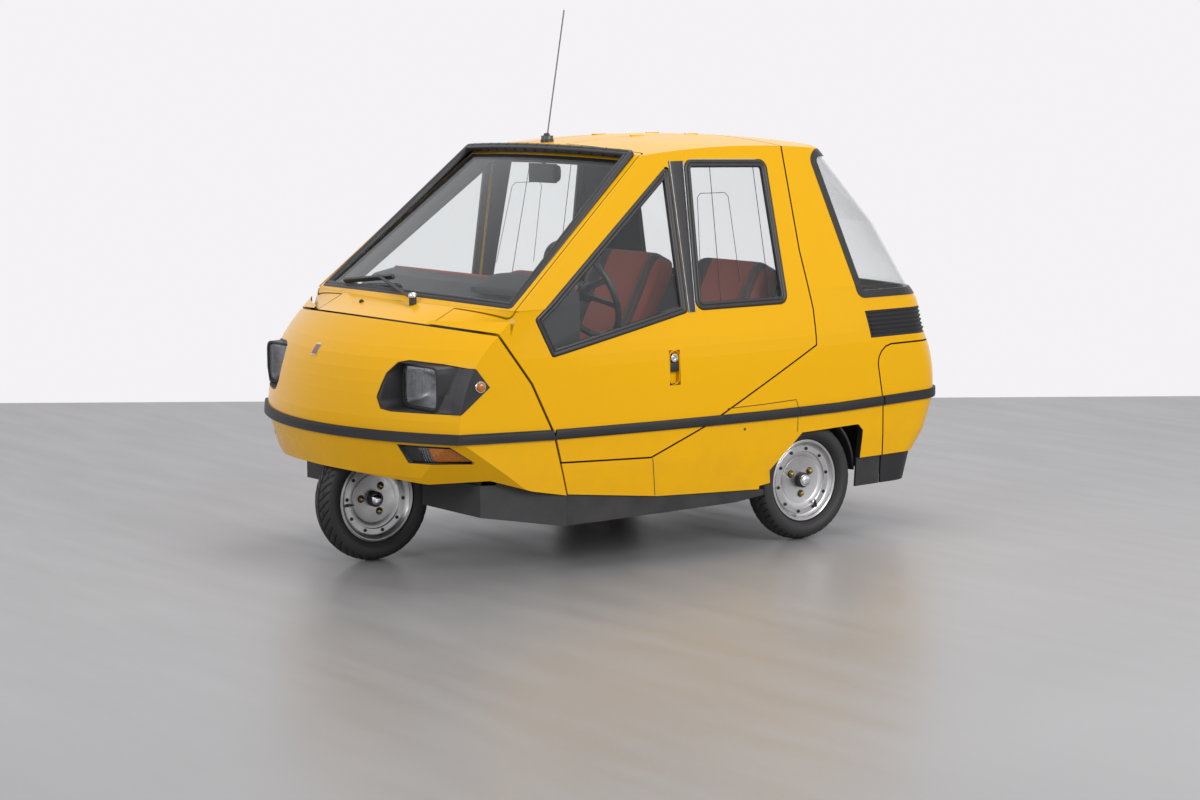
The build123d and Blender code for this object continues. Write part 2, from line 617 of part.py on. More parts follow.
rim_shape = wheel_rim()
tyre_shape = wheel_tyre()
wheel_places = {"front": (0.0, front_wheel_y, 1), "rear_left": (rear_wheel_x, rear_wheel_y, 1),
                "rear_right": (-rear_wheel_x, rear_wheel_y, -1)}
for name, (x, y, side) in wheel_places.items():
    turn = Rot(0, 0, 0) if side > 0 else Rot(0, 0, 180)
    parts[name + "_rim"] = Pos(x, y, tyre_radius) * turn * rim_shape
    parts[name + "_tyre"] = Pos(x, y, tyre_radius) * turn * tyre_shape

# ---- front fork ---------------------------------------------------------------------------------
leg = fork_leg_size
fork_z = tyre_radius
stem_mid_z = (fork_crown_z + stem_top_z) / 2 - 5
stem = Pos(0, steer_y, stem_mid_z) * Cylinder(stem_radius, stem_top_z - fork_crown_z + 10)
crown_bar = block((fork_leg_x - leg / 2, 24), (steer_y - 26, steer_y + 26), (fork_crown_z - 16, fork_crown_z))
fork_leg = block((fork_leg_x - leg / 2, fork_leg_x + leg / 2), (front_wheel_y - 20, front_wheel_y + 20),
                 (fork_z - 26, fork_crown_z))
stub = tube_x(axle_radius, (fork_leg_x, rim_half_width - 2), front_wheel_y, fork_z)
collar = tube_x(22, (fork_leg_x, -30), front_wheel_y, fork_z)
cap_disc = tube_x(17, (rim_half_width - 1.7, rim_half_width + 4), front_wheel_y, fork_z)
end_pin = tube_x(axle_radius, (0, rim_half_width), front_wheel_y, fork_z)
parts["front_fork"] = stem + crown_bar + fork_leg + stub + collar + cap_disc + end_pin

# ---- frame --------------------------------------------------------------------------------------
half = rail_size / 2


def rail_run(points, x):
    """Square tube along straight runs in a (y, z) plane at one X."""
    band = trace_band(points, half)
    return Pos(x - half, 0, 0) * extrude(Plane.YZ * band, amount=rail_size, dir=(1, 0, 0))


def trace_band(points, reach):
    """Face of constant width about an open chain of points."""
    solid_band = None
    for a, b in zip(points[:-1], points[1:]):
        run = hypot(b[0] - a[0], b[1] - a[1])
        dy, dz = (b[0] - a[0]) / run * reach, (b[1] - a[1]) / run * reach
        corners = [(a[0] - dy - dz, a[1] - dz + dy), (b[0] + dy - dz, b[1] + dz + dy),
                   (b[0] + dy + dz, b[1] + dz - dy), (a[0] - dy + dz, a[1] - dz - dy)]
        piece = make_face(Polyline(corners, close=True))
        solid_band = piece if solid_band is None else solid_band + piece
    return solid_band


kick_y = 292.0
rail_points = [(-660.0, rail_z), (kick_y, rail_z), (kick_y, rear_rail_z), (1040.0, rear_rail_z)]
frame = rail_run(rail_points, rail_x) + rail_run(rail_points, -rail_x)
for y, z in ((-640.0, rail_z), (-200.0, rail_z), (kick_y, rail_z), (650.0, rear_rail_z), (890.0, rear_rail_z),
             (1040.0, rear_rail_z)):
    frame = frame + block((-rail_x, rail_x), (y - half, y + half), (z - half, z + half))
head_bore = stem_radius + bearing_clearance
head_z = (housing_top_z + housing_wall + fit_gap, stem_top_z - 24)
head_tube = Pos(0, steer_y, sum(head_z) / 2) * Cylinder(head_bore + head_wall, head_z[1] - head_z[0])
brace_z = (head_z[0], head_z[0] + rail_size)
brace = block((-half, half), (steer_y, housing_back_y + housing_wall + rail_size), brace_z)
cross_brace = block((-rail_x - half, rail_x + half), (housing_back_y + housing_wall + fit_gap,
                    housing_back_y + housing_wall + rail_size + fit_gap), brace_z)
head = head_tube + brace + cross_brace
for side in (-1, 1):
    post_y = housing_back_y + housing_wall + fit_gap
    head = head + block((side * rail_x - half, side * rail_x + half), (post_y, post_y + rail_size),
                        (rail_z + half, brace_z[1]))
parts["steering_head"] = head - Pos(0, steer_y, 550) * Cylinder(head_bore, 400)
outrigger_z = (rail_z - half, rail_z + half - 12)
for y in (-560.0, -200.0, 180.0):
    frame = frame + block((-600, 600), (y - 15, y + 15), outrigger_z)
parts["chassis_frame"] = frame

# ---- floor, housing and bulkheads ---------------------------------------------------------------
floor_top = floor_z + floor_thickness
floor = block((-floor_half_width, floor_half_width), (housing_back_y + housing_wall + fit_gap, bulkhead_y),
              (floor_z, floor_top))
for side in (-1, 1):
    low = side * (housing_half_width + housing_wall + fit_gap)
    high = side * 520.0
    floor = floor + block(sorted((low, high)), (toe_y, housing_back_y + 40), (floor_z, floor_top))
post_clear = [block((side * rail_x - half - 1, side * rail_x + half + 1),
                    (housing_back_y, housing_back_y + 50), (150, 600)) for side in (-1, 1)]
floor = floor - post_clear[0] - post_clear[1]
parts["floor_pan"] = floor

hw = housing_half_width
housing = block((-hw - housing_wall, hw + housing_wall), (toe_y, housing_back_y + housing_wall),
                (floor_z, housing_top_z + housing_wall))
housing = housing - block((-hw, hw), (-far, housing_back_y), (0, housing_top_z))
housing = housing - Pos(0, steer_y, 480) * Cylinder(stem_radius + 8, 60)
toe_space = nose_form(nose_wall + fit_gap)
toe_space = toe_space & block((-700, 700), (toe_y - sheet, toe_y), (floor_top + fit_gap, 800))
toe_space = toe_space - block((-hw - 8.3, hw + 8.3), (-far, far), (0, housing_top_z + housing_wall + fit_gap))
toe_space = toe_space - block((-half - 1, half + 1), (-far, far), (0, brace_z[1] + 1))
for side in (-1, 1):
    toe_space = toe_space - block(sorted((side * 545, side * 900)), (-far, far), (0, 345))
parts["front_bulkhead"] = toe_space
roof_plate = block((-hw - housing_wall, hw + housing_wall), (toe_y - 60, housing_back_y), (housing_top_z,
                   housing_top_z + housing_wall)) - Pos(0, steer_y, 480) * Cylinder(stem_radius + 8, 60)
parts["wheel_housing"] = housing + roof_plate

back_sheet = [(bulkhead_y + fit_gap, floor_top + fit_gap), (bulkhead_y + fit_gap, 430.0),
              (shelf_front_y, shelf_z), (shelf_back_y, shelf_z), (shelf_back_y, shelf_z - sheet),
              (shelf_front_y + 6, shelf_z - sheet),
              (bulkhead_y + sheet, 426.0), (bulkhead_y + sheet, floor_top + fit_gap)]
shelf = side_prism(back_sheet, 0, -700, 700) & form(wall + 1.0)
for side in (-1, 1):
    space = tube_x(wheelhouse_radius + 12, (rear_wheel_x - 96, rear_wheel_x + 66), rear_wheel_y, tyre_radius)
    shelf = shelf - (space if side > 0 else mirrored(space))
parts["rear_shelf"] = shelf

house_ring = (tube_x(wheelhouse_radius + 8, (rear_wheel_x - 94, rear_wheel_x + 50), rear_wheel_y, tyre_radius)
              - tube_x(wheelhouse_radius, (rear_wheel_x - 88, rear_wheel_x + 90), rear_wheel_y, tyre_radius))
house_ring = house_ring - block((0, 900), (0, 1000), (0, floor_top + 1))
house_ring = house_ring - tube_x(40, (0, 900), rear_wheel_y, tyre_radius)
parts["wheelhouses"] = pair(house_ring & form(wall + 0.5))

# ---- rear axle and engine -----------------------------------------------------------------------
axle_inner = rear_wheel_x - 70
axle = tube_x(22, (-axle_inner, axle_inner), rear_wheel_y, tyre_radius)
for side in (-1, 1):
    spindle = tube_x(axle_radius, (min(0, side * (rear_wheel_x + 30)), max(0, side * (rear_wheel_x + 30))),
                     rear_wheel_y, tyre_radius)
    rim_face_x = rear_wheel_x + rim_half_width
    cap_x = sorted((side * (rim_face_x - 1.7), side * (rim_face_x + 12)))
    collar_x = sorted((side * axle_inner, side * (rear_wheel_x - 28.3)))
    axle = axle + spindle + tube_x(17, cap_x, rear_wheel_y, tyre_radius) + tube_x(18, collar_x, rear_wheel_y,
                                                                                 tyre_radius)
    end_x = sorted((side * (rear_wheel_x + 20), side * (rear_wheel_x + rim_half_width)))
    axle = axle + tube_x(axle_radius, end_x, rear_wheel_y, tyre_radius)
    hanger_x = sorted((side * (rail_x - 15), side * (rail_x + 15)))
    axle = axle + block(hanger_x, (rear_wheel_y - 28, rear_wheel_y + 28),
                        (tyre_radius, rear_rail_z - half - fit_gap))
parts["rear_axle"] = axle
parts["engine_block"] = block((-170, 190), (rear_wheel_y + 147, rear_wheel_y + 457),
                              (rear_rail_z + half + fit_gap, 650))

# ---- cabin --------------------------------------------------------------------------------------
dash_outline = [(toe_y + fit_gap, 770.0), (toe_y + fit_gap, 792.0), (-700.0, 862.0), (-575.0, 945.0),
                (-500.0, 960.0), (-478.0, 940.0), (-490.0, 780.0), (-570.0, 740.0)]
dash = side_prism(dash_outline, 0, -590, 590) & form(frame_depth + 8)
tilt = radians(column_angle)
column_plane = Plane(origin=wheel_centre, x_dir=(1, 0, 0), z_dir=(0, cos(tilt), sin(tilt)))


def on_column(radius, near, far_end):
    """Cylinder on the steering column's axis, between two distances ahead of the wheel."""
    return extrude(column_plane.offset(-far_end) * Circle(radius), amount=far_end - near)


parts["dashboard"] = dash - on_column(column_radius + fit_gap, 0, 400)
parts["steering_column"] = on_column(column_radius, 40, column_length)
rim_ring = column_plane * Torus(wheel_rim_radius, wheel_rim_tube)
hub_disc = on_column(32, -12, 24) + on_column(15, 20, 39.7)
spokes = None
for angle in (0, 180, 270):
    a = radians(angle)
    bar = column_plane.offset(-6) * Rot(0, 0, angle) * Pos(wheel_rim_radius / 2, 0, 0) \
        * Box(wheel_rim_radius, 26, 6)
    spokes = bar if spokes is None else spokes + bar
parts["steering_wheel"] = rim_ring + hub_disc + spokes

cushion = block((seat_x - seat_half_width, seat_x + seat_half_width), (seat_front_y, seat_back_y),
                (floor_top + fit_gap, seat_top_z))
cushion = fillet(cushion.edges().filter_by(Axis.Y), 25)
parts["seat_cushions"] = pair(cushion)
back_outline = [(seat_back_y - back_thickness, seat_top_z + fit_gap),
                (back_top_y - back_thickness, back_top_z),
                (back_top_y, back_top_z), (seat_back_y, seat_top_z + fit_gap)]
back = side_prism(back_outline, 0, seat_x - seat_half_width, seat_x + seat_half_width)
parts["seat_backs"] = pair(back)

# ---- small fittings -----------------------------------------------------------------------------
mirror_z = 1315.0
mirror_y = -170.0
mirror_x = -65.0
mirror_head = block((mirror_x - 76, mirror_x + 76), (mirror_y - 9, mirror_y + 9),
                    (mirror_z - 34, mirror_z + 34))
stem_bar = block((mirror_x - 7, mirror_x + 7), (mirror_y + 1, mirror_y + 9), (mirror_z, 1500))
stem_bar = stem_bar & form(frame_depth + fit_gap)
parts["cabin_mirror"] = mirror_head + stem_bar
antenna_x, antenna_y = -30.0, -175.0
antenna_tip = Vector(-30.0, -95.8, 1897.6)
base_z = roof_top_z - roof_ball_radius + sqrt(roof_ball_radius ** 2 - (antenna_y - roof_ball_y) ** 2)
antenna_foot = Vector(antenna_x, antenna_y, base_z + 18)
base = Pos(antenna_x, antenna_y, base_z + 8) * Cylinder(22, 28) - form(-fit_gap)
rod_line = antenna_tip - antenna_foot
rod = extrude(Plane(origin=antenna_foot, z_dir=rod_line) * Circle(2.5), amount=rod_line.length)
parts["antenna"] = base + rod

wiper_pivot = Vector(150.0, -872.0, 898.0)
blade_ends = (Vector(-412.0, -803.0, 940.0), Vector(-88.0, -800.0, 974.0))
arm_end = Vector(-186.0, -796.0, 965.5)


def screen_bar(a, b, half_wide, low, high):
    """Bar between two points near the windscreen, between two heights square to it."""
    along = (b - a).normalized()
    square = screen_plane.z_dir - along * screen_plane.z_dir.dot(along)
    middle = (a + b) / 2
    bar_plane = Plane(origin=middle, x_dir=along, z_dir=square)
    return bar_plane * Pos(0, 0, (low + high) / 2) * Box((b - a).length, 2 * half_wide, high - low)


pivot = Pos(wiper_pivot.X, wiper_pivot.Y, wiper_pivot.Z) * Cylinder(13, 50) - form(-fit_gap)
blade = screen_bar(blade_ends[0], blade_ends[1], 5, -11, 6)
arm = screen_bar(wiper_pivot + Vector(0, 0, 14), arm_end, 5, 2, 9)
parts["wiper"] = max((pivot + blade + arm).solids(), key=lambda piece: piece.volume)

# ---- write the pieces ---------------------------------------------------------------------------
os.makedirs("parts", exist_ok=True)
for name, shape in parts.items():
    export_step(shape, f"parts/{name}.step")
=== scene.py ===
from math import cos, pi, radians, sin

import bmesh
import bpy
import numpy as np
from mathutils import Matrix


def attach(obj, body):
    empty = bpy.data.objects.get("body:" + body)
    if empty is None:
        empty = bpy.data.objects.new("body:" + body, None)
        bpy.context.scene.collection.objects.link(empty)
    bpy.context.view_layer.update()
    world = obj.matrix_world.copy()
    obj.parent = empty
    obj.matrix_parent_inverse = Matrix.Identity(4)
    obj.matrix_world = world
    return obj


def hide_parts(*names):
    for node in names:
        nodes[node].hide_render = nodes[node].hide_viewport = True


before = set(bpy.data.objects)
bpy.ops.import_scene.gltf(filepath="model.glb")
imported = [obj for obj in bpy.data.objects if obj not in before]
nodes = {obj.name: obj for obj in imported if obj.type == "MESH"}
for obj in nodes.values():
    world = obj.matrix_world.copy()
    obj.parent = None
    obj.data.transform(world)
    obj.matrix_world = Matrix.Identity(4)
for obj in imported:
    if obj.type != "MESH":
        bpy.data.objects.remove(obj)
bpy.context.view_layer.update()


# ---- painted panels ------------------------------------------------------------------------------
# The nose, tail, doors and rear lid are glass-fibre mouldings under a thick yellow gel coat
# with clear lacquer over it: faint orange peel, a little road film towards the sills. Their inner
# faces are lined with dark felt.
class Signal:
    """One output of a material's node tree. Arithmetic on it adds Math nodes."""

    def __init__(self, tree, socket=None):
        self.tree, self.socket = tree, socket

    def node(self, kind, settings=(), inputs=(), output=0):
        """Adds a node: its settings first, then the values or links of its sockets."""
        made = self.tree.nodes.new(kind)
        for name, value in dict(settings).items():
            if name == "stops":
                ramp = made.color_ramp
                while len(ramp.elements) < len(value):
                    ramp.elements.new(0.5)
                for element, (place, colour) in zip(ramp.elements, value):
                    element.position, element.color = place, (*colour, 1.0)
            else:
                setattr(made, name, value)
        for name, value in dict(inputs).items():
            if isinstance(value, Signal):
                self.tree.links.new(value.socket, made.inputs[name])
            elif isinstance(value, tuple) and len(value) == 3 and made.inputs[name].type == "RGBA":
                made.inputs[name].default_value = (*value, 1.0)
            else:
                made.inputs[name].default_value = value
        return Signal(self.tree, made.outputs[output] if made.outputs else None)

    def math(self, operation, *values, clamp=False):
        settings = {"operation": operation, "use_clamp": clamp}
        return self.node("ShaderNodeMath", settings, dict(enumerate(values)))

    def __add__(self, other): return self.math("ADD", self, other)
    def __radd__(self, other): return self.math("ADD", other, self)
    def __sub__(self, other): return self.math("SUBTRACT", self, other)
    def __rsub__(self, other): return self.math("SUBTRACT", other, self)
    def __mul__(self, other): return self.math("MULTIPLY", self, other)
    def __pow__(self, other): return self.math("POWER", self, other)
    def __gt__(self, other): return self.math("GREATER_THAN", self, other)

    def absolute(self):
        return self.math("ABSOLUTE", self)

    def clamp(self):
        return self.math("ADD", self, 0.0, clamp=True)

    def ramp(self, low, high):
        """Rises from 0 at low to 1 at high, and stays there."""
        return ((self - low) * (1.0 / (high - low))).clamp()

    def mix(self, first, second):
        """Colour between first and second, by this signal."""
        return self.node("ShaderNodeMix", {"data_type": "RGBA"}, {0: self, 6: first, 7: second}, output=2)


class Finish:
    """A material in the making, patterned on the piece's own coordinates."""

    def __init__(self, name):
        self.material = bpy.data.materials.new(name)
        self.material.use_nodes = True
        self.material.node_tree.nodes.clear()
        self.graph = Signal(self.material.node_tree)
        self.place = self.graph.node("ShaderNodeTexCoord", output="Object")
        self.x, self.y, self.z = (self.graph.node("ShaderNodeSeparateXYZ", (), {0: self.place}, output=i)
                                  for i in range(3))

    def stretch(self, x, y, z):
        """The piece's coordinates, stretched along each axis."""
        return self.graph.node("ShaderNodeVectorMath", {"operation": "MULTIPLY"},
                               {0: self.place, 1: (x, y, z)})

    def noise(self, scale, detail=2.0, vector=None):
        return self.graph.node("ShaderNodeTexNoise", (),
                               {"Vector": vector or self.place, "Scale": scale, "Detail": detail})

    def cells(self, scale):
        return self.graph.node("ShaderNodeTexVoronoi", (), {"Vector": self.place, "Scale": scale})

    def bump(self, height, strength, distance=0.001):
        return self.graph.node("ShaderNodeBump", (),
                               {"Height": height, "Strength": strength, "Distance": distance})

    def close(self, colour, roughness, bump=None, **sockets):
        """Ends the material in one Principled shader."""
        values = {"Base Color": colour, "Roughness": roughness}
        if bump:
            values["Normal"] = bump
        values.update({name.replace("_", " "): value for name, value in sockets.items()})
        shader = self.graph.node("ShaderNodeBsdfPrincipled", (), values)
        self.graph.node("ShaderNodeOutputMaterial", (), {"Surface": shader})
        return self.material


def speckled(name, scale, detail, first, second, rough, vary=0.0, grain=None, **sockets):
    """A material whose colour and roughness follow one noise; grain is the pattern, scale, strength and
    distance of its relief."""
    own = Finish(name)
    spots = own.noise(scale, detail)
    relief = own.bump(grain[0](own, grain[1]), *grain[2:]) if grain else None
    return own.close(spots.mix(first, second), rough + spots * vary if vary else rough, relief, **sockets)


def dress(material, *names):
    """Puts a material on CAD nodes."""
    for name in names:
        for place in nodes[name].material_slots:
            place.material = material


paint_yellow = (0.90, 0.475, 0.001)
finish = Finish("yellow_gelcoat")
patch = finish.noise(2.3)
film = (1.0 - finish.z.ramp(0.18, 0.50)) * finish.noise(14.0, 4.0).ramp(0.35, 0.75)
tone = patch.mix(paint_yellow, (0.875, 0.445, 0.001))
coated = (film * 0.25).mix(tone, (0.46, 0.27, 0.03))
facing = finish.graph.node("ShaderNodeTexCoord", output="Normal")
cabin_middle = (0.0, 0.10, 0.75)
from_middle = finish.graph.node("ShaderNodeVectorMath", {"operation": "SUBTRACT"},
                                {0: finish.place, 1: cabin_middle})
outside = finish.graph.node("ShaderNodeVectorMath", {"operation": "DOT_PRODUCT"},
                            {0: facing, 1: from_middle}, output="Value") > -0.02
lining = finish.noise(24.0).mix((0.022, 0.022, 0.023), (0.030, 0.029, 0.029))
yellow_gelcoat = finish.close(
    outside.mix(lining, coated), 0.85 - outside * (0.62 - film * 0.25 - patch * 0.06),
    finish.bump(finish.noise(230.0, 1.0), 0.030), Coat_Weight=outside * 0.18, Coat_Roughness=0.03,
    Specular_IOR_Level=0.14)
dress(yellow_gelcoat, "body_shell", "windscreen_frame", "nose_shell", "door_left", "door_right", "rear_lid")


# ---- glass and its seals -------------------------------------------------------------------------
# Laminated windscreen, moulded clear panes in the doors and a one-piece wrap-round rear window,
# each held in an extruded black rubber section pushed over the panel's edge.
def clear_pane(name, tint, veil):
    """Thin glass: what is behind shows through a tint, under a mirror that grows at glancing angles."""
    pane = Finish(name)
    smear = pane.noise(3.2, 3.0).ramp(0.3, 0.8)
    through = pane.graph.node("ShaderNodeBsdfTransparent", (), {"Color": tint})
    gloss = pane.graph.node("ShaderNodeBsdfPrincipled", (),
                            {"Base Color": (0.75, 0.78, 0.78), "Roughness": 0.03 + smear * 0.05,
                             "Metallic": 1.0})
    glance = pane.graph.node("ShaderNodeLayerWeight", (), {"Blend": 0.5}, output="Facing")
    mirror = glance ** 5 * 0.8 + 0.03 + (veil + smear * veil)
    both = pane.graph.node("ShaderNodeMixShader", (), {0: mirror, 1: through, 2: gloss})
    pane.graph.node("ShaderNodeOutputMaterial", (), {"Surface": both})
    return pane.material


dress(clear_pane("window_glass", (0.970, 0.980, 0.978), 0.004), "windscreen", "door_left_glass",
      "door_right_glass")
dress(clear_pane("rear_acrylic", (0.965, 0.972, 0.972), 0.006), "rear_window")

seal_rubber = speckled("seal_rubber", 30.0, 4.0, (0.012, 0.012, 0.014), (0.030, 0.029, 0.029), 0.34, 0.16,
                       (Finish.noise, 600.0, 0.05))
dress(seal_rubber, "windscreen_seal", "door_left_seals", "door_right_seals", "rear_window_seal")

# ---- black plastic and steel ---------------------------------------------------------------------
# Bumper strips, skirts and lamp surrounds are grained black plastic, greying where the sun has
# reached it. The frame, floor and bulkheads are steel under satin black chassis paint.
grained_black = speckled("grained_black", 7.0, 3.0, (0.018, 0.018, 0.020), (0.038, 0.037, 0.038), 0.46, 0.14,
                         (Finish.cells, 900.0, 0.12, 0.0004), Specular_IOR_Level=0.26)
dress(grained_black, "bumper_strips", "door_left_strip", "door_right_strip", "lid_strip", "headlamp_bezels",
      "vent_grilles", "door_left_handle", "door_right_handle", "cabin_mirror", "dashboard")

finish = Finish("skirt_black")
dust = finish.noise(9.0, 4.0).ramp(0.35, 0.8)
skirt_black = finish.close((dust * 0.5).mix((0.022, 0.022, 0.024), (0.085, 0.08, 0.075)), 0.55 + dust * 0.2,
                           finish.bump(finish.noise(420.0), 0.10, 0.0005))
dress(skirt_black, "skirts", "wheel_housing", "wheelhouses")

finish = Finish("chassis_black")
soil = finish.noise(16.0, 4.0)
chassis_black = finish.close(soil.mix((0.02, 0.02, 0.021), (0.055, 0.048, 0.042)), 0.42 + soil * 0.25,
                             finish.bump(soil, 0.08, 0.0006))
dress(chassis_black, "chassis_frame", "steering_head", "floor_pan", "front_bulkhead", "front_fork",
      "rear_shelf", "rear_axle", "engine_block", "steering_column")

# ---- tyres ---------------------------------------------------------------------------------------
# Ten inch scooter tyres: grooves moulded into the tread and a rib round each sidewall. The front one has
# a chevron tread, the rear ones blocks.
def grid(points, round_rows=False, round_columns=False):
    """Surface through a (rows, columns, 3) array of points, closed on itself along either way."""
    rows, columns = points.shape[:2]
    number = np.arange(rows * columns).reshape(rows, columns)
    if round_rows:
        number = np.vstack([number, number[:1]])
    if round_columns:
        number = np.hstack([number, number[:, :1]])
    quads = np.stack([number[:-1, :-1], number[:-1, 1:], number[1:, 1:], number[1:, :-1]], -1)
    return points.reshape(-1, 3), quads.reshape(-1, 4)


def lathe(profile, centre, axis, count=64, closed=False, swell=None):
    """Profile of (radius, distance along the axis) turned about the axis through centre; swell adds to
    the radius at each (row, turn)."""
    profile = np.array(profile, float)
    axis = np.array(axis, float) / np.linalg.norm(axis)
    side = np.cross(axis, (0, 0, 1) if abs(axis[2]) < 0.9 else (1, 0, 0))
    side /= np.linalg.norm(side)
    turn = np.linspace(0, 2 * pi, count, endpoint=False)
    wheel = np.outer(np.cos(turn), side) + np.outer(np.sin(turn), np.cross(axis, side))
    radius = np.repeat(profile[:, :1], count, 1) + (0 if swell is None else swell)
    points = np.array(centre) + radius[:, :, None] * wheel[None] + profile[:, 1][:, None, None] * axis
    return grid(points, round_rows=closed, round_columns=True)


def build(name, surfaces, material, body, sharp=35.0, bevel=0.0, replaced=()):
    """One piece of several surfaces: welded, normals outward, dressed, and riding a body."""
    first, points, faces = 0, [], []
    for some_points, some_faces in surfaces:
        points.append(some_points)
        faces.append(some_faces + first)
        first += len(some_points)
    mesh = bpy.data.meshes.new(name)
    mesh.from_pydata(np.vstack(points).tolist(), [], np.vstack(faces).tolist())
    work = bmesh.new()
    work.from_mesh(mesh)
    bmesh.ops.remove_doubles(work, verts=work.verts, dist=1e-5)
    bmesh.ops.dissolve_degenerate(work, edges=work.edges, dist=1e-6)
    bmesh.ops.recalc_face_normals(work, faces=work.faces)
    work.to_mesh(mesh)
    work.free()
    mesh.shade_smooth()
    mesh.set_sharp_from_angle(angle=radians(sharp))
    mesh.materials.append(material)
    piece = bpy.data.objects.new(name, mesh)
    bpy.context.scene.collection.objects.link(piece)
    if bevel:
        edge = piece.modifiers.new("bevel", "BEVEL")
        edge.width, edge.segments, edge.limit_method, edge.angle_limit = bevel, 2, "ANGLE", radians(40)
        edge.harden_normals = True
    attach(piece, body)
    for node in replaced:
        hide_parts(node)
    return piece


tyre_rubber = speckled("tyre_rubber", 11.0, 4.0, (0.014, 0.014, 0.0145), (0.034, 0.033, 0.032), 0.50, 0.22,
                       (Finish.noise, 500.0, 0.06, 0.0004))
axle_z = 0.215
wheels = {"front": ((0.0, -0.956, axle_z), 1, "front_wheel"),
          "rear_left": ((0.603, 0.473, axle_z), 1, "rear_left_wheel"),
          "rear_right": ((-0.603, 0.473, axle_z), -1, "rear_right_wheel")}
turns = 480
step = np.arange(turns)


def arc3(a, b, c, count):
    """Points of the circle through three plane points, from a to c."""
    a, b, c = (np.array(p, float) for p in (a, b, c))
    left = 2 * np.array([b - a, c - a])
    middle = np.linalg.solve(left, [b @ b - a @ a, c @ c - a @ a])
    angles = np.unwrap([np.arctan2(*(p - middle)[::-1]) for p in (a, b, c)])
    sweep_angle = np.linspace(angles[0], angles[2], count)
    return middle + np.linalg.norm(a - middle) * np.stack([np.cos(sweep_angle), np.sin(sweep_angle)], 1)


shoulder = arc3((0.150, 0.0287), (0.172, 0.052), (0.203, 0.043), 14)
crown = arc3((0.203, 0.043), (0.215, 0.0), (0.203, -0.043), 41)
bead = np.array([(0.1266, 0.0126), (0.1352, 0.0234), (0.1402, 0.0284)])
tyre_profile = np.vstack([bead, shoulder, crown[1:-1], (shoulder * (1, -1))[::-1], (bead * (1, -1))[::-1]])
across = tyre_profile[:, 1:2]
round_ribs = (np.exp(-((tyre_profile[:, :1] - 0.1575) / 0.0022) ** 2) * 0.0014
              * (np.abs(across) > 0.03)) * np.ones((1, turns))
on_tread = np.clip((tyre_profile[:, :1] - 0.1995) / 0.004, 0, 1)
for name, (centre, out, body) in wheels.items():
    if name == "front":
        chevron = (step + np.rint(np.abs(across) * 420)) % 12 < 2
        rib = (np.abs(across) < 0.0026) | ((np.abs(np.abs(across) - 0.0225) < 0.0016) & (step % 24 < 17))
        groove = (chevron & (np.abs(across) > 0.006)) | rib
    else:
        zigzag = 0.0135 + 0.0022 * np.where(step % 20 < 10, 1, -1)
        bars = (step + np.rint(across * 150)) % 10 < 2
        groove = (np.abs(np.abs(across) - zigzag) < 0.0022) | (bars & (np.abs(across) > 0.0175))
    groove = groove.astype(float)
    soft = (groove * 2 + np.roll(groove, 1, 1) * 0.5 + np.roll(groove, -1, 1) * 0.5) / 3
    swell = round_ribs - 0.0062 * soft * on_tread
    build(name + "_tread", [lathe(tyre_profile, centre, (out, 0, 0), turns, closed=True, swell=swell)],
          tyre_rubber, body, sharp=50.0, replaced=[name + "_tyre"])

# ---- rims ----------------------------------------------------------------------------------------
# Two-piece aluminium rims, machined and polished: a rolled lip, a bolted ring with ten screws, a
# coned disc on three brass dome nuts, a black hub ring and a bright domed cap. Short rubber valve.
def machined(name, wheel_y, light=0.66, rough=0.20):
    """Turned aluminium: fine rings round the wheel's axis, a little dull where dirt has settled."""
    turned = Finish(name)
    radius = ((turned.y - wheel_y) ** 2.0 + (turned.z - axle_z) ** 2.0) ** 0.5
    rings = turned.graph.node("ShaderNodeTexNoise", {"noise_dimensions": "1D"},
                              {"W": radius, "Scale": 900.0})
    haze = turned.noise(26.0, 4.0)
    return turned.close(haze.mix((light, light, light * 1.01), (light * 0.7, light * 0.7, light * 0.7)),
                        rough + haze * 0.16 + rings * 0.06, turned.bump(rings, 0.16, 0.0003), Metallic=0.95)


def ring_of(count, start):
    """Angles spaced round a circle, from a start in degrees."""
    return np.radians(start) + np.arange(count) * 2 * pi / count


lip = [(0.1476, 0.0300), (0.1478, 0.0322), (0.1466, 0.0338), (0.1446, 0.0344), (0.1432, 0.0340),
       (0.1424, 0.0334), (0.1414, 0.0340), (0.1392, 0.0340), (0.1376, 0.0328), (0.1366, 0.0306),
       (0.1342, 0.0262), (0.1290, 0.0212), (0.1262, 0.0192)]
face = [(0.1240, 0.0186), (0.1238, 0.0206), (0.1230, 0.0214), (0.1046, 0.0214), (0.1038, 0.0206),
        (0.1037, 0.0166), (0.1024, 0.0158), (0.1010, 0.0160), (0.0862, 0.0112), (0.0846, 0.0106),
        (0.0838, 0.0112), (0.0826, 0.0108), (0.0250, 0.0104), (0.0250, 0.0040)]
back = [(0.0840, 0.0040), (0.1040, 0.0090), (0.1200, 0.0100), (0.1212, -0.0180), (0.1342, -0.0290),
        (0.1392, -0.0338), (0.1446, -0.0344), (0.1478, -0.0322), (0.1476, -0.0294), (0.1402, -0.0290),
        (0.1352, -0.0240), (0.1262, -0.0130), (0.1262, 0.0130), (0.1352, 0.0240), (0.1402, 0.0290),
        (0.1476, 0.0294)]
bolt_steel = speckled("bolt_steel", 60.0, 2.0, (0.08, 0.08, 0.085), (0.03, 0.03, 0.032), 0.30, 0.2,
                      Metallic=0.8)
brass_nut = speckled("brass_nut", 80.0, 2.0, (0.46, 0.33, 0.10), (0.20, 0.14, 0.05), 0.22, 0.25,
                     Metallic=1.0)
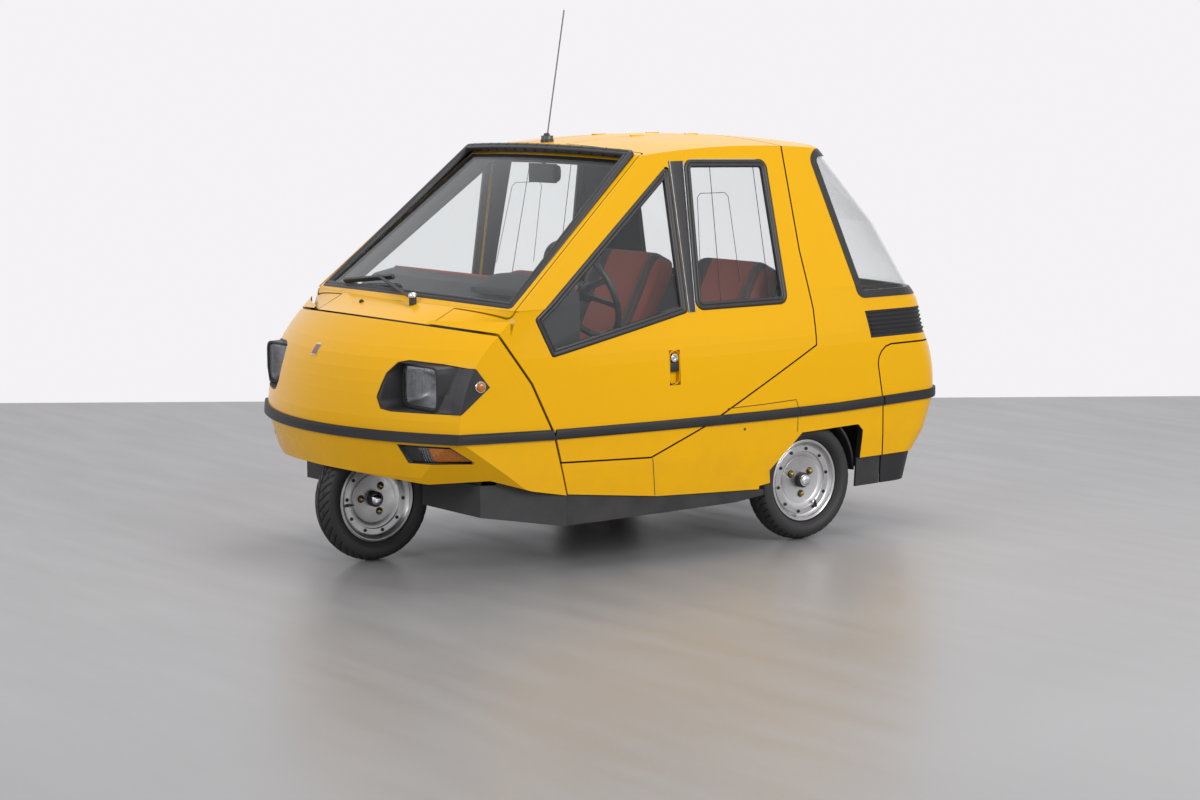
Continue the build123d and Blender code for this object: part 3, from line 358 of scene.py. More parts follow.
bright_chrome = speckled("bright_chrome", 30.0, 3.0, (0.80, 0.81, 0.82), (0.62, 0.63, 0.64), 0.07, 0.14,
                         Metallic=1.0)
screw_head = [(0, 0.0208), (0.0062, 0.0208), (0.0064, 0.0222), (0.0058, 0.0228), (0.0050, 0.0228),
              (0.0050, 0.0262), (0.0044, 0.0270), (0.0027, 0.0270), (0.0024, 0.0246), (0, 0.0244)]
nut_seat = [(0, 0.0090), (0.0135, 0.0090), (0.0138, 0.0112), (0.0126, 0.0126), (0.0108, 0.0120),
            (0.0104, 0.0104), (0, 0.0104)]
nut_dome = [(0, 0.0100), (0.0096, 0.0100), (0.0098, 0.0150), (0.0090, 0.0190), (0.0068, 0.0222),
            (0.0036, 0.0240), (0, 0.0245)]
hub_ring = [(0.0270, -0.0280), (0.0272, 0.0300), (0.0262, 0.0318), (0.0226, 0.0322), (0.0216, 0.0308),
            (0.0214, 0.0240), (0.0122, 0.0240), (0.0122, -0.0280)]
valve = [(0, 0.0), (0.0052, 0.0), (0.0052, 0.012), (0.0040, 0.014), (0.0040, 0.026), (0.0028, 0.027),
         (0.0028, 0.033), (0, 0.0335)]
for name, (centre, out, body) in wheels.items():
    alloy = machined(name + "_alloy", centre[1])
    axis = (out, 0, 0)
    build(name + "_rim_turned", [lathe(lip + face + back, centre, axis, 128, closed=True)], alloy, body,
          sharp=28.0, replaced=[name + "_rim"])
    hub = np.array(centre)

    def around(angle, radius, lift):
        """Point on the wheel's outer face."""
        return hub + (out * lift, radius * cos(angle), radius * sin(angle))

    screw_turn, nut_turn, valve_turn = (81.0, 32.0, -56.0) if name != "front" else (68.0, 56.0, 186.0)
    screws = [lathe(screw_head, around(angle, 0.114, 0.0), axis, 18) for angle in ring_of(10, screw_turn)]
    nut_spots = [around(angle, 0.051, 0.0) for angle in ring_of(3, nut_turn)]
    seats = [lathe(nut_seat, spot, axis, 28) for spot in nut_spots]
    domes = [lathe(nut_dome, spot, axis, 24) for spot in nut_spots]
    valve_angle = radians(valve_turn)
    valve_axis = np.array((out * 0.35, cos(valve_angle) * -0.9, sin(valve_angle) * -0.9))
    build(name + "_screws", screws + seats, bolt_steel, body, sharp=30.0)
    build(name + "_nuts", domes, brass_nut, body, sharp=60.0)
    build(name + "_hub_ring", [lathe(hub_ring, centre, axis, 48, closed=True),
                               lathe(valve, around(valve_angle, 0.1235, 0.0196), valve_axis, 16)],
          seal_rubber, body, sharp=30.0)
    top = 0.0400 if name == "front" else 0.0480
    cap = [(0.0212, 0.0262), (0.0213, top - 0.010), (0.0200, top - 0.005), (0.0160, top - 0.0010),
           (0.0090, top + 0.0008), (0, top + 0.0012), (0, top - 0.0008), (0.0150, top - 0.0030),
           (0.0186, top - 0.0080), (0.0186, 0.0262)]
    build(name + "_cap", [lathe(cap, centre, axis, 48, closed=True)], bright_chrome, body,
          sharp=40.0)

# ---- headlamps -----------------------------------------------------------------------------------
# Rectangular headlamps with ribbed glass over a silvered bowl, each in a black moulding that scoops in
# from the middle of the nose and reaches out of it as a short tube. A flat black plate carries on
# over the corner ridge to a point, with a round amber marker lamp on it.
ridge_depth = 0.195           # nose centre to corner ridge, along Y
side_middle = 0.15            # where the sides are widest
belt_z = 0.901                # foot of the upper body
side_belt_x = 0.6406
side_lean = 0.21
# height, nose on the middle plane, corner ridge, widest place
body_rows = np.array([(0.160, -1.0400, 0.6220, 0.6640), (0.278, -1.1060, 0.6220, 0.6740),
                      (0.352, -1.1550, 0.6220, 0.6800), (0.475, -1.1990, 0.6220, 0.6840),
                      (0.548, -1.1930, 0.6220, 0.6830), (0.585, -1.1862, 0.6226, 0.6823),
                      (0.622, -1.1773, 0.6241, 0.6815), (0.660, -1.1650, 0.6260, 0.6800),
                      (0.700, -1.1484, 0.6284, 0.6779), (0.740, -1.1250, 0.6310, 0.6740),
                      (0.775, -1.0965, 0.6329, 0.6680), (0.808, -1.0649, 0.6346, 0.6610),
                      (0.840, -1.0320, 0.6360, 0.6540), (0.870, -0.9984, 0.6371, 0.6475),
                      (belt_z, -0.9620, 0.6380, side_belt_x)])


def body_row(z, column):
    """The nose on the middle plane (1), the corner ridge (2) or the widest place (3) at a height."""
    return np.interp(z, body_rows[:, 0], body_rows[:, column])


def nose_y(x, z, inset=0.0):
    """The nose's surface, moved inward by an inset: an arc in plan to both ridges, cut by a lower facet."""
    ridge = body_row(z, 2)
    radius = (ridge ** 2 + ridge_depth ** 2) / (2 * ridge_depth)
    bow = radius - np.sqrt(radius ** 2 - np.asarray(x) ** 2)
    front = body_row(z, 1) + bow + 1.12 * inset
    facet = -1.005 + (0.6515 * (np.abs(x) - 0.622) - 0.5955 * (np.asarray(z) - 0.487) + inset) / 0.4701
    return np.maximum(front, facet)


def side_x(y, z, inset=0.0):
    """The body side's surface behind the corner ridge: bowed below the belt, flat and leaning above it."""
    y, z = np.broadcast_arrays(np.asarray(y, float), np.asarray(z, float))
    tip, ridge, widest = (body_row(z, column) for column in (1, 2, 3))
    ridge_y = tip + ridge_depth
    low = widest - (widest - ridge) * ((y - side_middle) / (ridge_y - side_middle)) ** 2 - inset
    return np.where(z > belt_z, side_belt_x - side_lean * (z - belt_z) - 1.022 * inset, low)


def reach(outline, centre, angles):
    """How far a closed straight-sided outline lies from a centre inside it, in each direction."""
    far = np.full(len(angles), np.inf)
    outline = np.array(outline) - centre
    for a, b in zip(outline, np.roll(outline, -1, 0)):
        away = np.stack([np.cos(angles), np.sin(angles)], 1)
        edge = b - a
        across = away[:, 0] * edge[1] - away[:, 1] * edge[0]
        with np.errstate(divide="ignore", invalid="ignore"):
            distance = (a[0] * edge[1] - a[1] * edge[0]) / across
            along = (a[0] * away[:, 1] - a[1] * away[:, 0]) / across
        hit = (np.abs(across) > 1e-9) & (along >= -1e-6) & (along <= 1 + 1e-6) & (distance > 0)
        far = np.where(hit & (distance < far), distance, far)
    return far


def soften(radii, passes):
    """Closed run of radii with its corners rounded."""
    for _ in range(passes):
        radii = radii * 0.5 + (np.roll(radii, 1) + np.roll(radii, -1)) * 0.25
    return radii


def mirror_of(surfaces):
    """The same surfaces on the car's other side."""
    return [(points * (-1, 1, 1), faces[:, ::-1]) for points, faces in surfaces]


both_sides = (("left", lambda surfaces: surfaces), ("right", mirror_of))


lamp_moulding = speckled("lamp_moulding", 18.0, 4.0, (0.022, 0.022, 0.024), (0.050, 0.050, 0.053), 0.34, 0.18,
                         (Finish.cells, 1100.0, 0.06, 0.0003), Specular_IOR_Level=0.24)
recess = [(0.404, 0.740), (0.362, 0.731), (0.334, 0.693), (0.321, 0.615), (0.344, 0.579), (0.385, 0.572),
          (0.612, 0.572), (0.612, 0.722), (0.525, 0.733)]
lamp = np.array([0.452, 0.653])
angles = np.linspace(0, 2 * pi, 240, endpoint=False)
away = np.stack([np.cos(angles), np.sin(angles)], 1)
sharp_reach = reach(recess, lamp, angles)
rim_reach = np.where(np.cos(angles) > 0.15, sharp_reach, soften(sharp_reach, 4))
square = 0.5 * np.array([0.196, 0.134])


def rounded(grow, power=7.0):
    """Distance of the lamp's rounded rectangle from its middle, grown by an amount."""
    w, h = square + grow
    return (np.abs(away[:, 0] / w) ** power + np.abs(away[:, 1] / h) ** power) ** (-1 / power)


def lamp_ring(radius, y):
    """Closed ring about the lamp's middle at given distances, on the nose's surface or at a depth."""
    flat = lamp + away * radius[:, None]
    return np.stack([flat[:, 0], y(flat) if callable(y) else np.full(len(flat), y), flat[:, 1]], 1)


def depth(inset, deepest=None):
    """Depth function: the nose's surface moved inward, but no nearer the front than deepest."""
    def at(flat):
        y = nose_y(flat[:, 0], flat[:, 1], inset)
        return y if deepest is None else np.maximum(y, deepest)
    return at


tube_edge = [(0.346, 0.728), (0.338, 0.700), (0.334, 0.600), (0.346, 0.577), (0.540, 0.5745),
             (0.546, 0.5775), (0.579, 0.7120), (0.574, 0.7270)]
base = np.minimum(soften(reach(tube_edge, lamp, angles), 3), rim_reach - 0.0016)
tube = np.minimum(rounded(0.0090), base - 0.0008)
plate = [np.maximum(rim_reach * part + base * (1 - part), base + 0.0003 * (1 + part))
         for part in (0.75, 0.25)]
rings = [lamp_ring(rim_reach - 0.0008, depth(0.009)), lamp_ring(rim_reach - 0.0008, depth(0.0010)),
         lamp_ring(rim_reach - 0.0022, depth(0.0006)), lamp_ring(rim_reach - 0.0036, depth(0.0024)),
         lamp_ring(plate[0], depth(0.0040)), lamp_ring(plate[1], depth(0.0044)),
         lamp_ring(base, depth(0.0046)), lamp_ring(base * 0.75 + tube * 0.25, depth(0.0030, -1.088)),
         lamp_ring(base * 0.35 + tube * 0.65,
                   lambda flat: nose_y(flat[:, 0], flat[:, 1], 0.002) * 0.35 - 1.0400 * 0.65),
         lamp_ring(tube, -1.0405), lamp_ring(tube - 0.0010, -1.0432), lamp_ring(tube - 0.0026, -1.0442),
         lamp_ring(rounded(0.0012), -1.0436), lamp_ring(rounded(0.0004), -1.0420),
         lamp_ring(rounded(0.0002), -1.0100)]
moulding = [grid(np.array(rings), round_columns=True)]
tip_point = (-0.888, 0.657)
tips = []
for part in np.linspace(0, 1, 9):
    z = 0.5725 + part * 0.1500
    ridge_y = float(body_row(z, 1)) + ridge_depth
    ridge_x = float(body_row(z, 2))
    row = [(x, float(nose_y(x, z, -0.0026)), z) for x in (0.598, 0.612, ridge_x - 0.003)]
    row.append((ridge_x + 0.0024, ridge_y - 0.0024, z))
    for share in (0.04, 0.35, 0.7, 1.0):
        y = ridge_y + share * (tip_point[0] - ridge_y)
        height = z + share * (tip_point[1] - z)
        row.append((float(side_x(y, height)) + 0.0022, y, height))
    tips.append(row)
tips = np.array(tips)
inward = tips - (0.004, -0.003, 0.0)
slab = np.concatenate([inward[:, :1], tips, inward[:, -1:]], 1)
marker_at = (0.6312, -0.9235, 0.6610)
side_out = np.array((0.985, -0.170, 0.03))
# Lighter and darker amber cells are painted glints of light in the lens's moulded blocks.
finish = Finish("amber_lens")
painted_glow = finish.cells(190.0)
amber_lens = finish.close(painted_glow.mix((0.62, 0.20, 0.012), (0.34, 0.085, 0.004)), 0.14 + painted_glow * 0.1,
                          finish.bump(finish.cells(260.0), 0.35, 0.0008), Coat_Weight=0.5, IOR=1.5)
marker_ring = [(0, 0.0015), (0.0185, 0.0015), (0.0190, 0.0050), (0.0178, 0.0066), (0.0160, 0.0066),
               (0.0154, 0.0050), (0, 0.0048)]
marker_dome = [(0, 0.0050), (0.0152, 0.0050), (0.0150, 0.0085), (0.0132, 0.0112), (0.0090, 0.0132),
               (0, 0.0140)]
ribs = Finish("ribbed_lens")
flutes = ((ribs.x * 720.0).math("SINE", ribs.x * 720.0) * 0.5 + 0.5) ** 0.6
blocks = ribs.cells(120.0)
through = ribs.graph.node("ShaderNodeBsdfTransparent", (), {"Color": (0.80, 0.82, 0.83)})
gloss = ribs.graph.node("ShaderNodeBsdfPrincipled", (),
                        {"Base Color": (0.62, 0.63, 0.64), "Roughness": 0.20, "Metallic": 1.0,
                         "Normal": ribs.bump(flutes + blocks * 0.6, 0.9, 0.0022)})
glance = ribs.graph.node("ShaderNodeLayerWeight", (), {"Blend": 0.5}, output="Facing")
share = glance ** 5 * 0.6 + (flutes * 0.22 + 0.10)
ribs.graph.node("ShaderNodeOutputMaterial", (),
                {"Surface": ribs.graph.node("ShaderNodeMixShader", (), {0: share, 1: through, 2: gloss})})
ribbed_lens = ribs.material
# Brighter and duller cells on the silvering are painted reflections of the bowl's facets.
finish = Finish("bowl_mirror")
facet = finish.cells(60.0)
bowl_mirror = finish.close(facet.mix((0.46, 0.46, 0.47), (0.30, 0.30, 0.31)), 0.28 + facet * 0.15,
                           Metallic=1.0)
levels = [(1.0, -1.0330), (1.0, -1.0375), (0.985, -1.0392), (0.95, -1.0404), (0.75, -1.0422),
          (0.45, -1.0432), (0.15, -1.0436), (0.0, -1.0437)]
lens = [grid(np.array([lamp_ring(rounded(-0.0003) * part, y) for part, y in [(0.96, -1.0330)] + levels]),
             round_columns=True)]
bowl_levels = [(0.985, -1.0328), (0.97, -1.0310), (0.93, -1.0170), (0.85, -1.0000), (0.72, -0.9850),
               (0.55, -0.9740), (0.34, -0.9660), (0.17, -0.9630), (0.10, -0.9730), (0.085, -0.9900),
               (0.0, -0.9930)]
bowl = [grid(np.array([lamp_ring(rounded(-0.0003) * part, y) for part, y in bowl_levels]),
             round_columns=True)]
for side, turned in both_sides:
    build("lamp_moulding_" + side, turned(moulding), lamp_moulding, "body", sharp=48.0,
          replaced=["headlamp_bezels"] if side == "left" else [])
    build("lamp_tip_" + side, turned([grid(slab)]), lamp_moulding, "body", sharp=20.0)
    build("marker_ring_" + side, turned([lathe(marker_ring, marker_at, side_out, 32)]), bright_chrome,
          "body")
    build("marker_lamp_" + side, turned([lathe(marker_dome, marker_at, side_out, 32)]), amber_lens, "body")
    build("headlamp_glass_" + side, turned(lens), ribbed_lens, "body", sharp=60.0,
          replaced=["headlamps"] if side == "left" else [])
    build("headlamp_bowl_" + side, turned(bowl), bowl_mirror, "body", sharp=60.0)

# ---- bumper lamps --------------------------------------------------------------------------------
# Under the bumper strip, a slanted black tray holds a clear position lamp and, outboard of it, an
# amber indicator with moulded blocks in its lens.
low_frame = [(0.415, 0.466), (0.436, 0.402), (0.604, 0.402), (0.592, 0.466)]


def plate_between(front, behind):
    """Closed plate between two matching sheets of points."""
    rings = [np.concatenate([p[0], p[1:, -1], p[-1, -2::-1], p[-2:0:-1, 0]]) for p in (front, behind)]
    return [grid(front), grid(behind), grid(np.array(rings), round_columns=True)]


def nose_patch(corners, inset, thick, rows=9, columns=17, crown=0.0):
    """Closed slab between four (x, z) corners, following the nose at an inset."""
    a, b, c, d = (np.array(p) for p in corners)
    u, v = np.linspace(0, 1, columns)[None, :, None], np.linspace(0, 1, rows)[:, None, None]
    flat = (a * (1 - u) + d * u) * (1 - v) + (b * (1 - u) + c * u) * v
    dome = crown * (1 - (2 * u[..., 0] - 1) ** 4) * (1 - (2 * v[..., 0] - 1) ** 4)
    front = np.stack([flat[..., 0], nose_y(flat[..., 0], flat[..., 1], inset) - dome, flat[..., 1]], -1)
    behind = front + (0, thick, 0)
    behind[..., 1] = nose_y(flat[..., 0], flat[..., 1], inset) + thick
    return plate_between(front, behind)


def tray_edge(corners, wide, near, far_inset):
    """Frame round four (x, z) corners: a lip and the wall that runs back from it."""
    corners = np.array(corners)
    middle = corners.mean(0)
    line = np.concatenate([np.linspace(p, q, 12, endpoint=False)
                           for p, q in zip(corners, np.roll(corners, -1, 0))])
    toward = middle - line
    toward /= np.linalg.norm(toward, axis=1)[:, None]
    rows = []
    for shift, inset in ((0.0006, far_inset), (0.0006, near), (wide * 0.5, near - 0.0006),
                         (wide, near + 0.0008), (wide + 0.0022, far_inset)):
        flat = line + toward * shift
        rows.append(np.stack([flat[:, 0], nose_y(flat[:, 0], flat[:, 1], inset), flat[:, 1]], 1))
    return [grid(np.array(rows), round_rows=True, round_columns=True)]


clear_part = [(0.480, 0.4585), (0.492, 0.4105), (0.522, 0.4105), (0.513, 0.4585)]
amber_part = [(0.5150, 0.4585), (0.5240, 0.4105), (0.5960, 0.4105), (0.5860, 0.4585)]
tray = tray_edge(low_frame, 0.0050, 0.0010, 0.020) + nose_patch(low_frame, 0.0190, 0.003)
tray += nose_patch([(0.4225, 0.4600), (0.4395, 0.4085), (0.4890, 0.4085), (0.4775, 0.4600)], 0.0120, 0.004)
clear = nose_patch(clear_part, 0.0085, 0.008, crown=0.0015)
amber = nose_patch(amber_part, 0.0080, 0.009, crown=0.0020)
for side, turned in both_sides:
    build("lamp_tray_" + side, turned(tray), lamp_moulding, "body", sharp=30.0)
    build("position_lamp_" + side, turned(clear), ribbed_lens, "body", sharp=40.0,
          replaced=["bumper_lamps"] if side == "left" else [])
    build("indicator_" + side, turned(amber), amber_lens, "body", sharp=40.0)

# ---- window seals --------------------------------------------------------------------------------
# Extruded rubber pushed over the edge of each opening: a fat rounded lip with a groove for the filler
# strip, carried round the corners in one length. A black cover joins the two side windows' seals; the
# bright lines along its edges are painted highlights of the seal beads.
def rounded_outline(points, corner, shift, spacing=0.010):
    """Closed path over straight-sided points, its corners rounded, moved inward by a shift."""
    points = np.array(points, float)
    turn = np.sum(points[:, 0] * np.roll(points[:, 1], -1) - np.roll(points[:, 0], -1) * points[:, 1])
    if turn < 0:
        points = points[::-1]
    before, after = points - np.roll(points, 1, 0), np.roll(points, -1, 0) - points
    before /= np.linalg.norm(before, axis=1)[:, None]
    after /= np.linalg.norm(after, axis=1)[:, None]
    stops = []
    for point, a, b in zip(points, before, after):
        normal_a, normal_b = np.array([a[1], -a[0]]), np.array([b[1], -b[0]])
        middle = point - (normal_a + normal_b) * corner / (1 + normal_a @ normal_b)
        for part in np.linspace(0, 1, 9):
            normal = normal_a * (1 - part) + normal_b * part
            stops.append(middle + normal / np.linalg.norm(normal) * (corner - shift))
    path = []
    for a, b in zip(stops, stops[1:] + stops[:1]):
        count = max(1, int(np.linalg.norm(b - a) / spacing))
        path += [a + (b - a) * i / count for i in range(count)]
    return np.array(path)


def capped(rows):
    """Rows of a tube, with both ends closed to their middles."""
    first, last = (end.mean(1, keepdims=True).repeat(rows.shape[1], 1) for end in (rows[:1], rows[-1:]))
    return np.concatenate([first, rows, last])


def dotted(points, count):
    """Points along a run of straight lines, count of them to each line."""
    lines = [np.linspace(a, b, count, endpoint=False) for a, b in zip(points[:-1], points[1:])]
    return np.concatenate(lines + [[points[-1]]])


def sweep(path, outs, section, closed=True):
    """A closed cross section of (across, out) points carried along a path whose outward sides are given."""
    ahead = (np.roll(path, -1, 0) - np.roll(path, 1, 0)) if closed else np.gradient(path, axis=0)
    ahead /= np.linalg.norm(ahead, axis=1)[:, None]
    wide = np.cross(ahead, outs)
    wide /= np.linalg.norm(wide, axis=1)[:, None]
    up = np.cross(wide, ahead)
    section = np.array(section, float)
    rows = path[:, None] + wide[:, None] * section[None, :, :1] + up[:, None] * section[None, :, 1:]
    return grid(rows if closed else capped(rows), round_rows=closed, round_columns=True)


def on_side(path, inset=0.0):
    """Points of the left side over (y, z) pairs, with the side's outward directions there."""
    y, z = path[:, 0], path[:, 1]
    x = side_x(y, z, inset)
    tilt_y = (side_x(y + 0.004, z) - side_x(y - 0.004, z)) / 0.008
    tilt_z = (side_x(y, z + 0.004) - side_x(y, z - 0.004)) / 0.008
    outs = np.stack([np.ones(len(y)), -tilt_y, -tilt_z], 1)
    return np.stack([x, y, z], 1), outs / np.linalg.norm(outs, axis=1)[:, None]


def circle(radius, count=10):
    """Round cross section."""
    turn = np.linspace(0, 2 * pi, count, endpoint=False)
    return np.stack([radius * np.cos(turn), radius * np.sin(turn)], 1)


lip_section = [(-0.0138, -0.0100), (-0.0139, 0.0006), (-0.0128, 0.0026), (-0.0100, 0.0038),
               (-0.0060, 0.0041), (-0.0034, 0.0034), (-0.0022, 0.0018), (0.0002, 0.0018), (0.0014, 0.0032),
               (0.0050, 0.0036), (0.0095, 0.0028), (0.0128, 0.0006), (0.0139, -0.0030), (0.0139, -0.0100)]
quarter_window = [(-0.6455, 0.738), (-0.7085, 0.870), (-0.0725, 1.365), (-0.0725, 0.854)]
side_window = [(-0.0355, 0.858), (-0.0045, 1.377), (0.3675, 1.367), (0.3855, 0.858)]
seal_inset = 0.0142           # opening's edge to the seal's middle
window_rings = []
for outline, corner in ((quarter_window, 0.0165), (side_window, 0.036)):
    path, outs = on_side(rounded_outline(outline, corner, seal_inset))
    window_rings.append(sweep(path, outs, lip_section))
height = np.linspace(0.856, 1.371, 40)
front_edge, rear_edge = np.full(len(height), -0.0722), -0.0352 + (height - 0.858) * 0.0597
share = np.linspace(0, 1, 9)
cover = []
for part, lift in zip(share, 0.0022 * (1 - (2 * share - 1) ** 4)):
    y = front_edge * (1 - part) + rear_edge * part
    cover.append(on_side(np.stack([y, height], 1))[0] + (0.0008 + lift, 0, 0))
cover = np.array(cover)
cover_solid = np.concatenate([cover[:1] - (0.003, 0, 0), cover, cover[-1:] - (0.003, 0, 0)])
# Bright metal lines along the pillar cover's edges: painted highlights of the seal beads.
painted_highlight_trim = speckled("painted_highlight_trim", 22.0, 2.0, (0.40, 0.41, 0.43), (0.16, 0.16, 0.17), 0.22, 0.2,
                         Metallic=0.9)
highlight_lines = []
for edge, shift in ((front_edge, 0.0045), (rear_edge, -0.0045)):
    path, outs = on_side(np.stack([edge + shift, height], 1))
    highlight_lines.append(sweep(path + outs * 0.0030, outs, circle(0.0019), closed=False))
pane_inset = 0.0045
pane_lines = []
for y0, y1, z0, z1 in ((0.084, 0.112, 0.884, 1.349), (0.306, 0.307, 0.884, 1.344)):
    line = np.linspace((y0, z0), (y1, z1), 30)
    path, outs = on_side(line, pane_inset)
    pane_lines.append(sweep(path, outs, circle(0.0013, 8), closed=False))
vent_pane = [(0.006, 0.950), (0.040, 1.242), (0.055, 1.257), (0.165, 1.256), (0.178, 1.242), (0.181, 0.948)]
path, outs = on_side(dotted(vent_pane, 12), pane_inset)
pane_lines.append(sweep(path, outs, circle(0.0011, 8), closed=False))
for side, turned in both_sides:
    body = "door_" + side
    build("window_seals_" + side, turned(window_rings), seal_rubber, body, sharp=50.0,
          replaced=[body + "_seals"])
    build("pillar_cover_" + side, turned([grid(cover_solid)]), seal_rubber, body, sharp=30.0)
    build("pillar_trims_" + side, turned(highlight_lines), painted_highlight_trim, body, sharp=60.0)
    build("pane_edges_" + side, turned(pane_lines), seal_rubber, body, sharp=60.0)

screen_lean = 1.2             # run in Y for each unit of height
screen_radius = 2.440
screen_foot_y = -0.7765       # foot of the flat screen plane, at the belt
screen_bulge = 0.0855
screen_back, screen_up = screen_lean / np.hypot(1, screen_lean), 1 / np.hypot(1, screen_lean)


def screen_point(flat, lift=0.0):
    """Points of the curved windscreen over (across, up the glass) pairs, with its outward directions."""
    across, up = flat[:, 0], flat[:, 1]
    bow = screen_radius - np.sqrt(screen_radius ** 2 - across ** 2)
    fall = (screen_bulge - bow) / np.hypot(1, screen_lean)
    outward = np.array([0.0, -screen_up, screen_back])
    flat_points = np.stack([across, screen_foot_y + up * screen_back, belt_z + up * screen_up], 1)
    points = flat_points + outward * fall[:, None]
    outs = np.stack([across / screen_radius * screen_up, np.full(len(up), -screen_up),
                     np.full(len(up), screen_back)], 1)
    outs /= np.linalg.norm(outs, axis=1)[:, None]
    return points + outs * lift, outs


def bowed(a, b, dip, count=17):
    """Points of a shallow arc between two points at one height, dipping in its middle."""
    part = np.linspace(-1, 1, count)
    return np.stack([a[0] + (b[0] - a[0]) * (part + 1) / 2, a[1] - dip * (1 - part ** 2)], 1)


screen_outline = np.concatenate([bowed((-0.606, 0.0), (0.606, 0.0), 0.039),
                                 bowed((0.506, 0.773), (-0.506, 0.773), 0.021)])
path, outs = screen_point(rounded_outline(screen_outline, 0.016, seal_inset))
# its root goes down the slot and its inner lip laps over the glass
root_section = [(-0.0138, -0.0150)] + lip_section[1:-2] + [(0.0168, -0.0030), (0.0168, -0.0150)]
build("windscreen_surround", [sweep(path, outs, root_section)], seal_rubber, "body",
      sharp=50.0, replaced=["windscreen_seal"])

# ---- seats ---------------------------------------------------------------------------------------
# Two bucket seats: foam under red-brown suede cloth, with black velour side bolsters sewn on and red
# piping in the seams.
finish = Finish("seat_cloth")
driver_x = 0.308              # middle of the driver's seat; the other seat mirrors it
aside = (finish.x.absolute() - driver_x).absolute()
velour = aside.ramp(0.1215, 0.1235) * (1.0 - aside.ramp(0.1880, 0.1900))
nap = finish.noise(9.0, 3.0)
pile = finish.noise(700.0, 2.0)
suede = (nap * 0.7 + pile * 0.3).mix((0.400, 0.088, 0.058), (0.270, 0.052, 0.036))
black_pile = nap.ramp(0.3, 0.8).mix((0.018, 0.018, 0.020), (0.055, 0.055, 0.058))
seat_cloth = finish.close(velour.mix(suede, black_pile), 0.82 - velour * 0.1,
                          finish.bump(pile + nap * 0.6, 0.25, 0.0009), Sheen_Weight=0.35)
seat_piping = speckled("seat_piping", 40.0, 2.0, (0.26, 0.045, 0.030), (0.16, 0.025, 0.018), 0.55)


class Pad:
    """A stuffed, boxed cushion: a rounded box whose faces crown outward and pull in at the seams."""

    def __init__(self, middle, across, up, half, power=9.0):
        self.middle, self.across, self.up = (np.array(v, float) for v in (middle, across, up))
        self.up /= np.linalg.norm(self.up)
        self.out = np.cross(self.across, self.up)
        self.half, self.power = half, power

    def place(self, local):
        """World points of rounded-box directions, local being (..., 3) in across, up and out."""
        size = np.sum(np.abs(local) ** self.power, -1, keepdims=True) ** (-1 / self.power)
        box = local * size
        s, t, face = box[..., 0], box[..., 1], np.clip(box[..., 2], 0, 1) ** 2
        bolster = np.clip((np.abs(s) - 0.60) / 0.16, 0, 1)
        fall_off = 1 - np.clip((np.abs(s) - 0.86) / 0.14, 0, 1) ** 2
        bolster = bolster * bolster * (3 - 2 * bolster) * fall_off
        seam = np.exp(-((np.abs(s) - 0.60) / 0.022) ** 2)
        crown = (1 - s ** 2) * (1 - t ** 2)
        ends = 1 - np.clip((np.abs(t) - 0.80) / 0.2, 0, 1) ** 2
        pull = 1 - 0.022 * (1 - t ** 4) * (np.abs(s) > 0.5)
        rise = face * (0.010 * crown + 0.024 * bolster * (0.35 + 0.65 * ends) - 0.007 * seam * ends)
        return (self.middle + self.across * (s * pull * self.half[0])[..., None]
                + self.up * (t * self.half[1])[..., None]
                + self.out * (box[..., 2] * self.half[2] + rise)[..., None])

    def faces(self, count=52):
        side = np.tan(np.linspace(-pi / 4, pi / 4, count))
        p, q = np.meshgrid(side, side)
        one = np.ones_like(p)
        corners = [(p, q, one), (p, q, -one), (p, one, q), (p, -one, q), (one, p, q), (-one, p, q)]
        return [grid(self.place(np.stack(c, -1))) for c in corners]

    def seam(self, s, low=-0.86, high=0.9, radius=0.0028):
        """Piping laid in a seam that runs up the front at one place across."""
        t = np.linspace(low, high, 60)
        path = self.place(np.stack([np.full(60, s), t, np.ones(60)], -1))
        return sweep(path + self.out * 0.001, np.tile(self.out, (60, 1)), circle(radius, 8), closed=False)


for side, x in (("left", driver_x), ("right", -driver_x)):
    leaning = Pad((x, 0.3130, 0.7090), (1, 0, 0), (0, 0.448, 0.894), (0.207, 0.304, 0.042))
    sitting = Pad((x, -0.0400, 0.3400), (1, 0, 0), (0, 0.992, -0.122), (0.207, 0.196, 0.082), 8.0)
    for name, cushion, nodes_for in (("seat_back_", leaning, "seat_backs"),
                                     ("seat_base_", sitting, "seat_cushions")):
        piece = build(name + side, cushion.faces(), seat_cloth, "body", sharp=80.0,
                      replaced=[nodes_for] if side == "left" else [])
        build(name + "piping_" + side, [cushion.seam(-0.6), cushion.seam(0.6), cushion.seam(-0.93),
                                        cushion.seam(0.93)], seat_piping, "body", sharp=80.0)

# ---- dashboard -----------------------------------------------------------------------------------
# Black moulded shelf under the windscreen, its rear edge rolled in red-brown trim, with a hooded
# instrument housing in front of the driver and two round dials in it.
roll_x = np.linspace(-0.560, 0.560, 90)
swell = np.exp(-((roll_x - driver_x) / 0.145) ** 6)
path = np.stack([roll_x, -0.4880 + 0.010 * swell, 0.9560 + 0.030 * swell], 1)
build("dash_roll", [sweep(path, np.tile((0.0, 0.0, 1.0), (90, 1)), circle(0.0120, 16), closed=False)],
      seat_piping, "body", sharp=80.0)
hood_rows = []
for part in np.linspace(0, 1, 25):
    y = -0.640 + part * 0.156
    tall = 0.046 * sin(pi * 0.5 * min(1.0, part * 1.5)) ** 0.8 + 0.004
    spread = 0.150 + 0.022 * part
    turn = np.linspace(0, pi, 41)
    arch = np.stack([driver_x + spread * np.sign(np.cos(turn)) * np.abs(np.cos(turn)) ** 0.45, np.full(41, y),
                     0.940 + tall * np.abs(np.sin(turn)) ** 0.45], 1)
    hood_rows.append(arch)
hood = np.array(hood_rows)
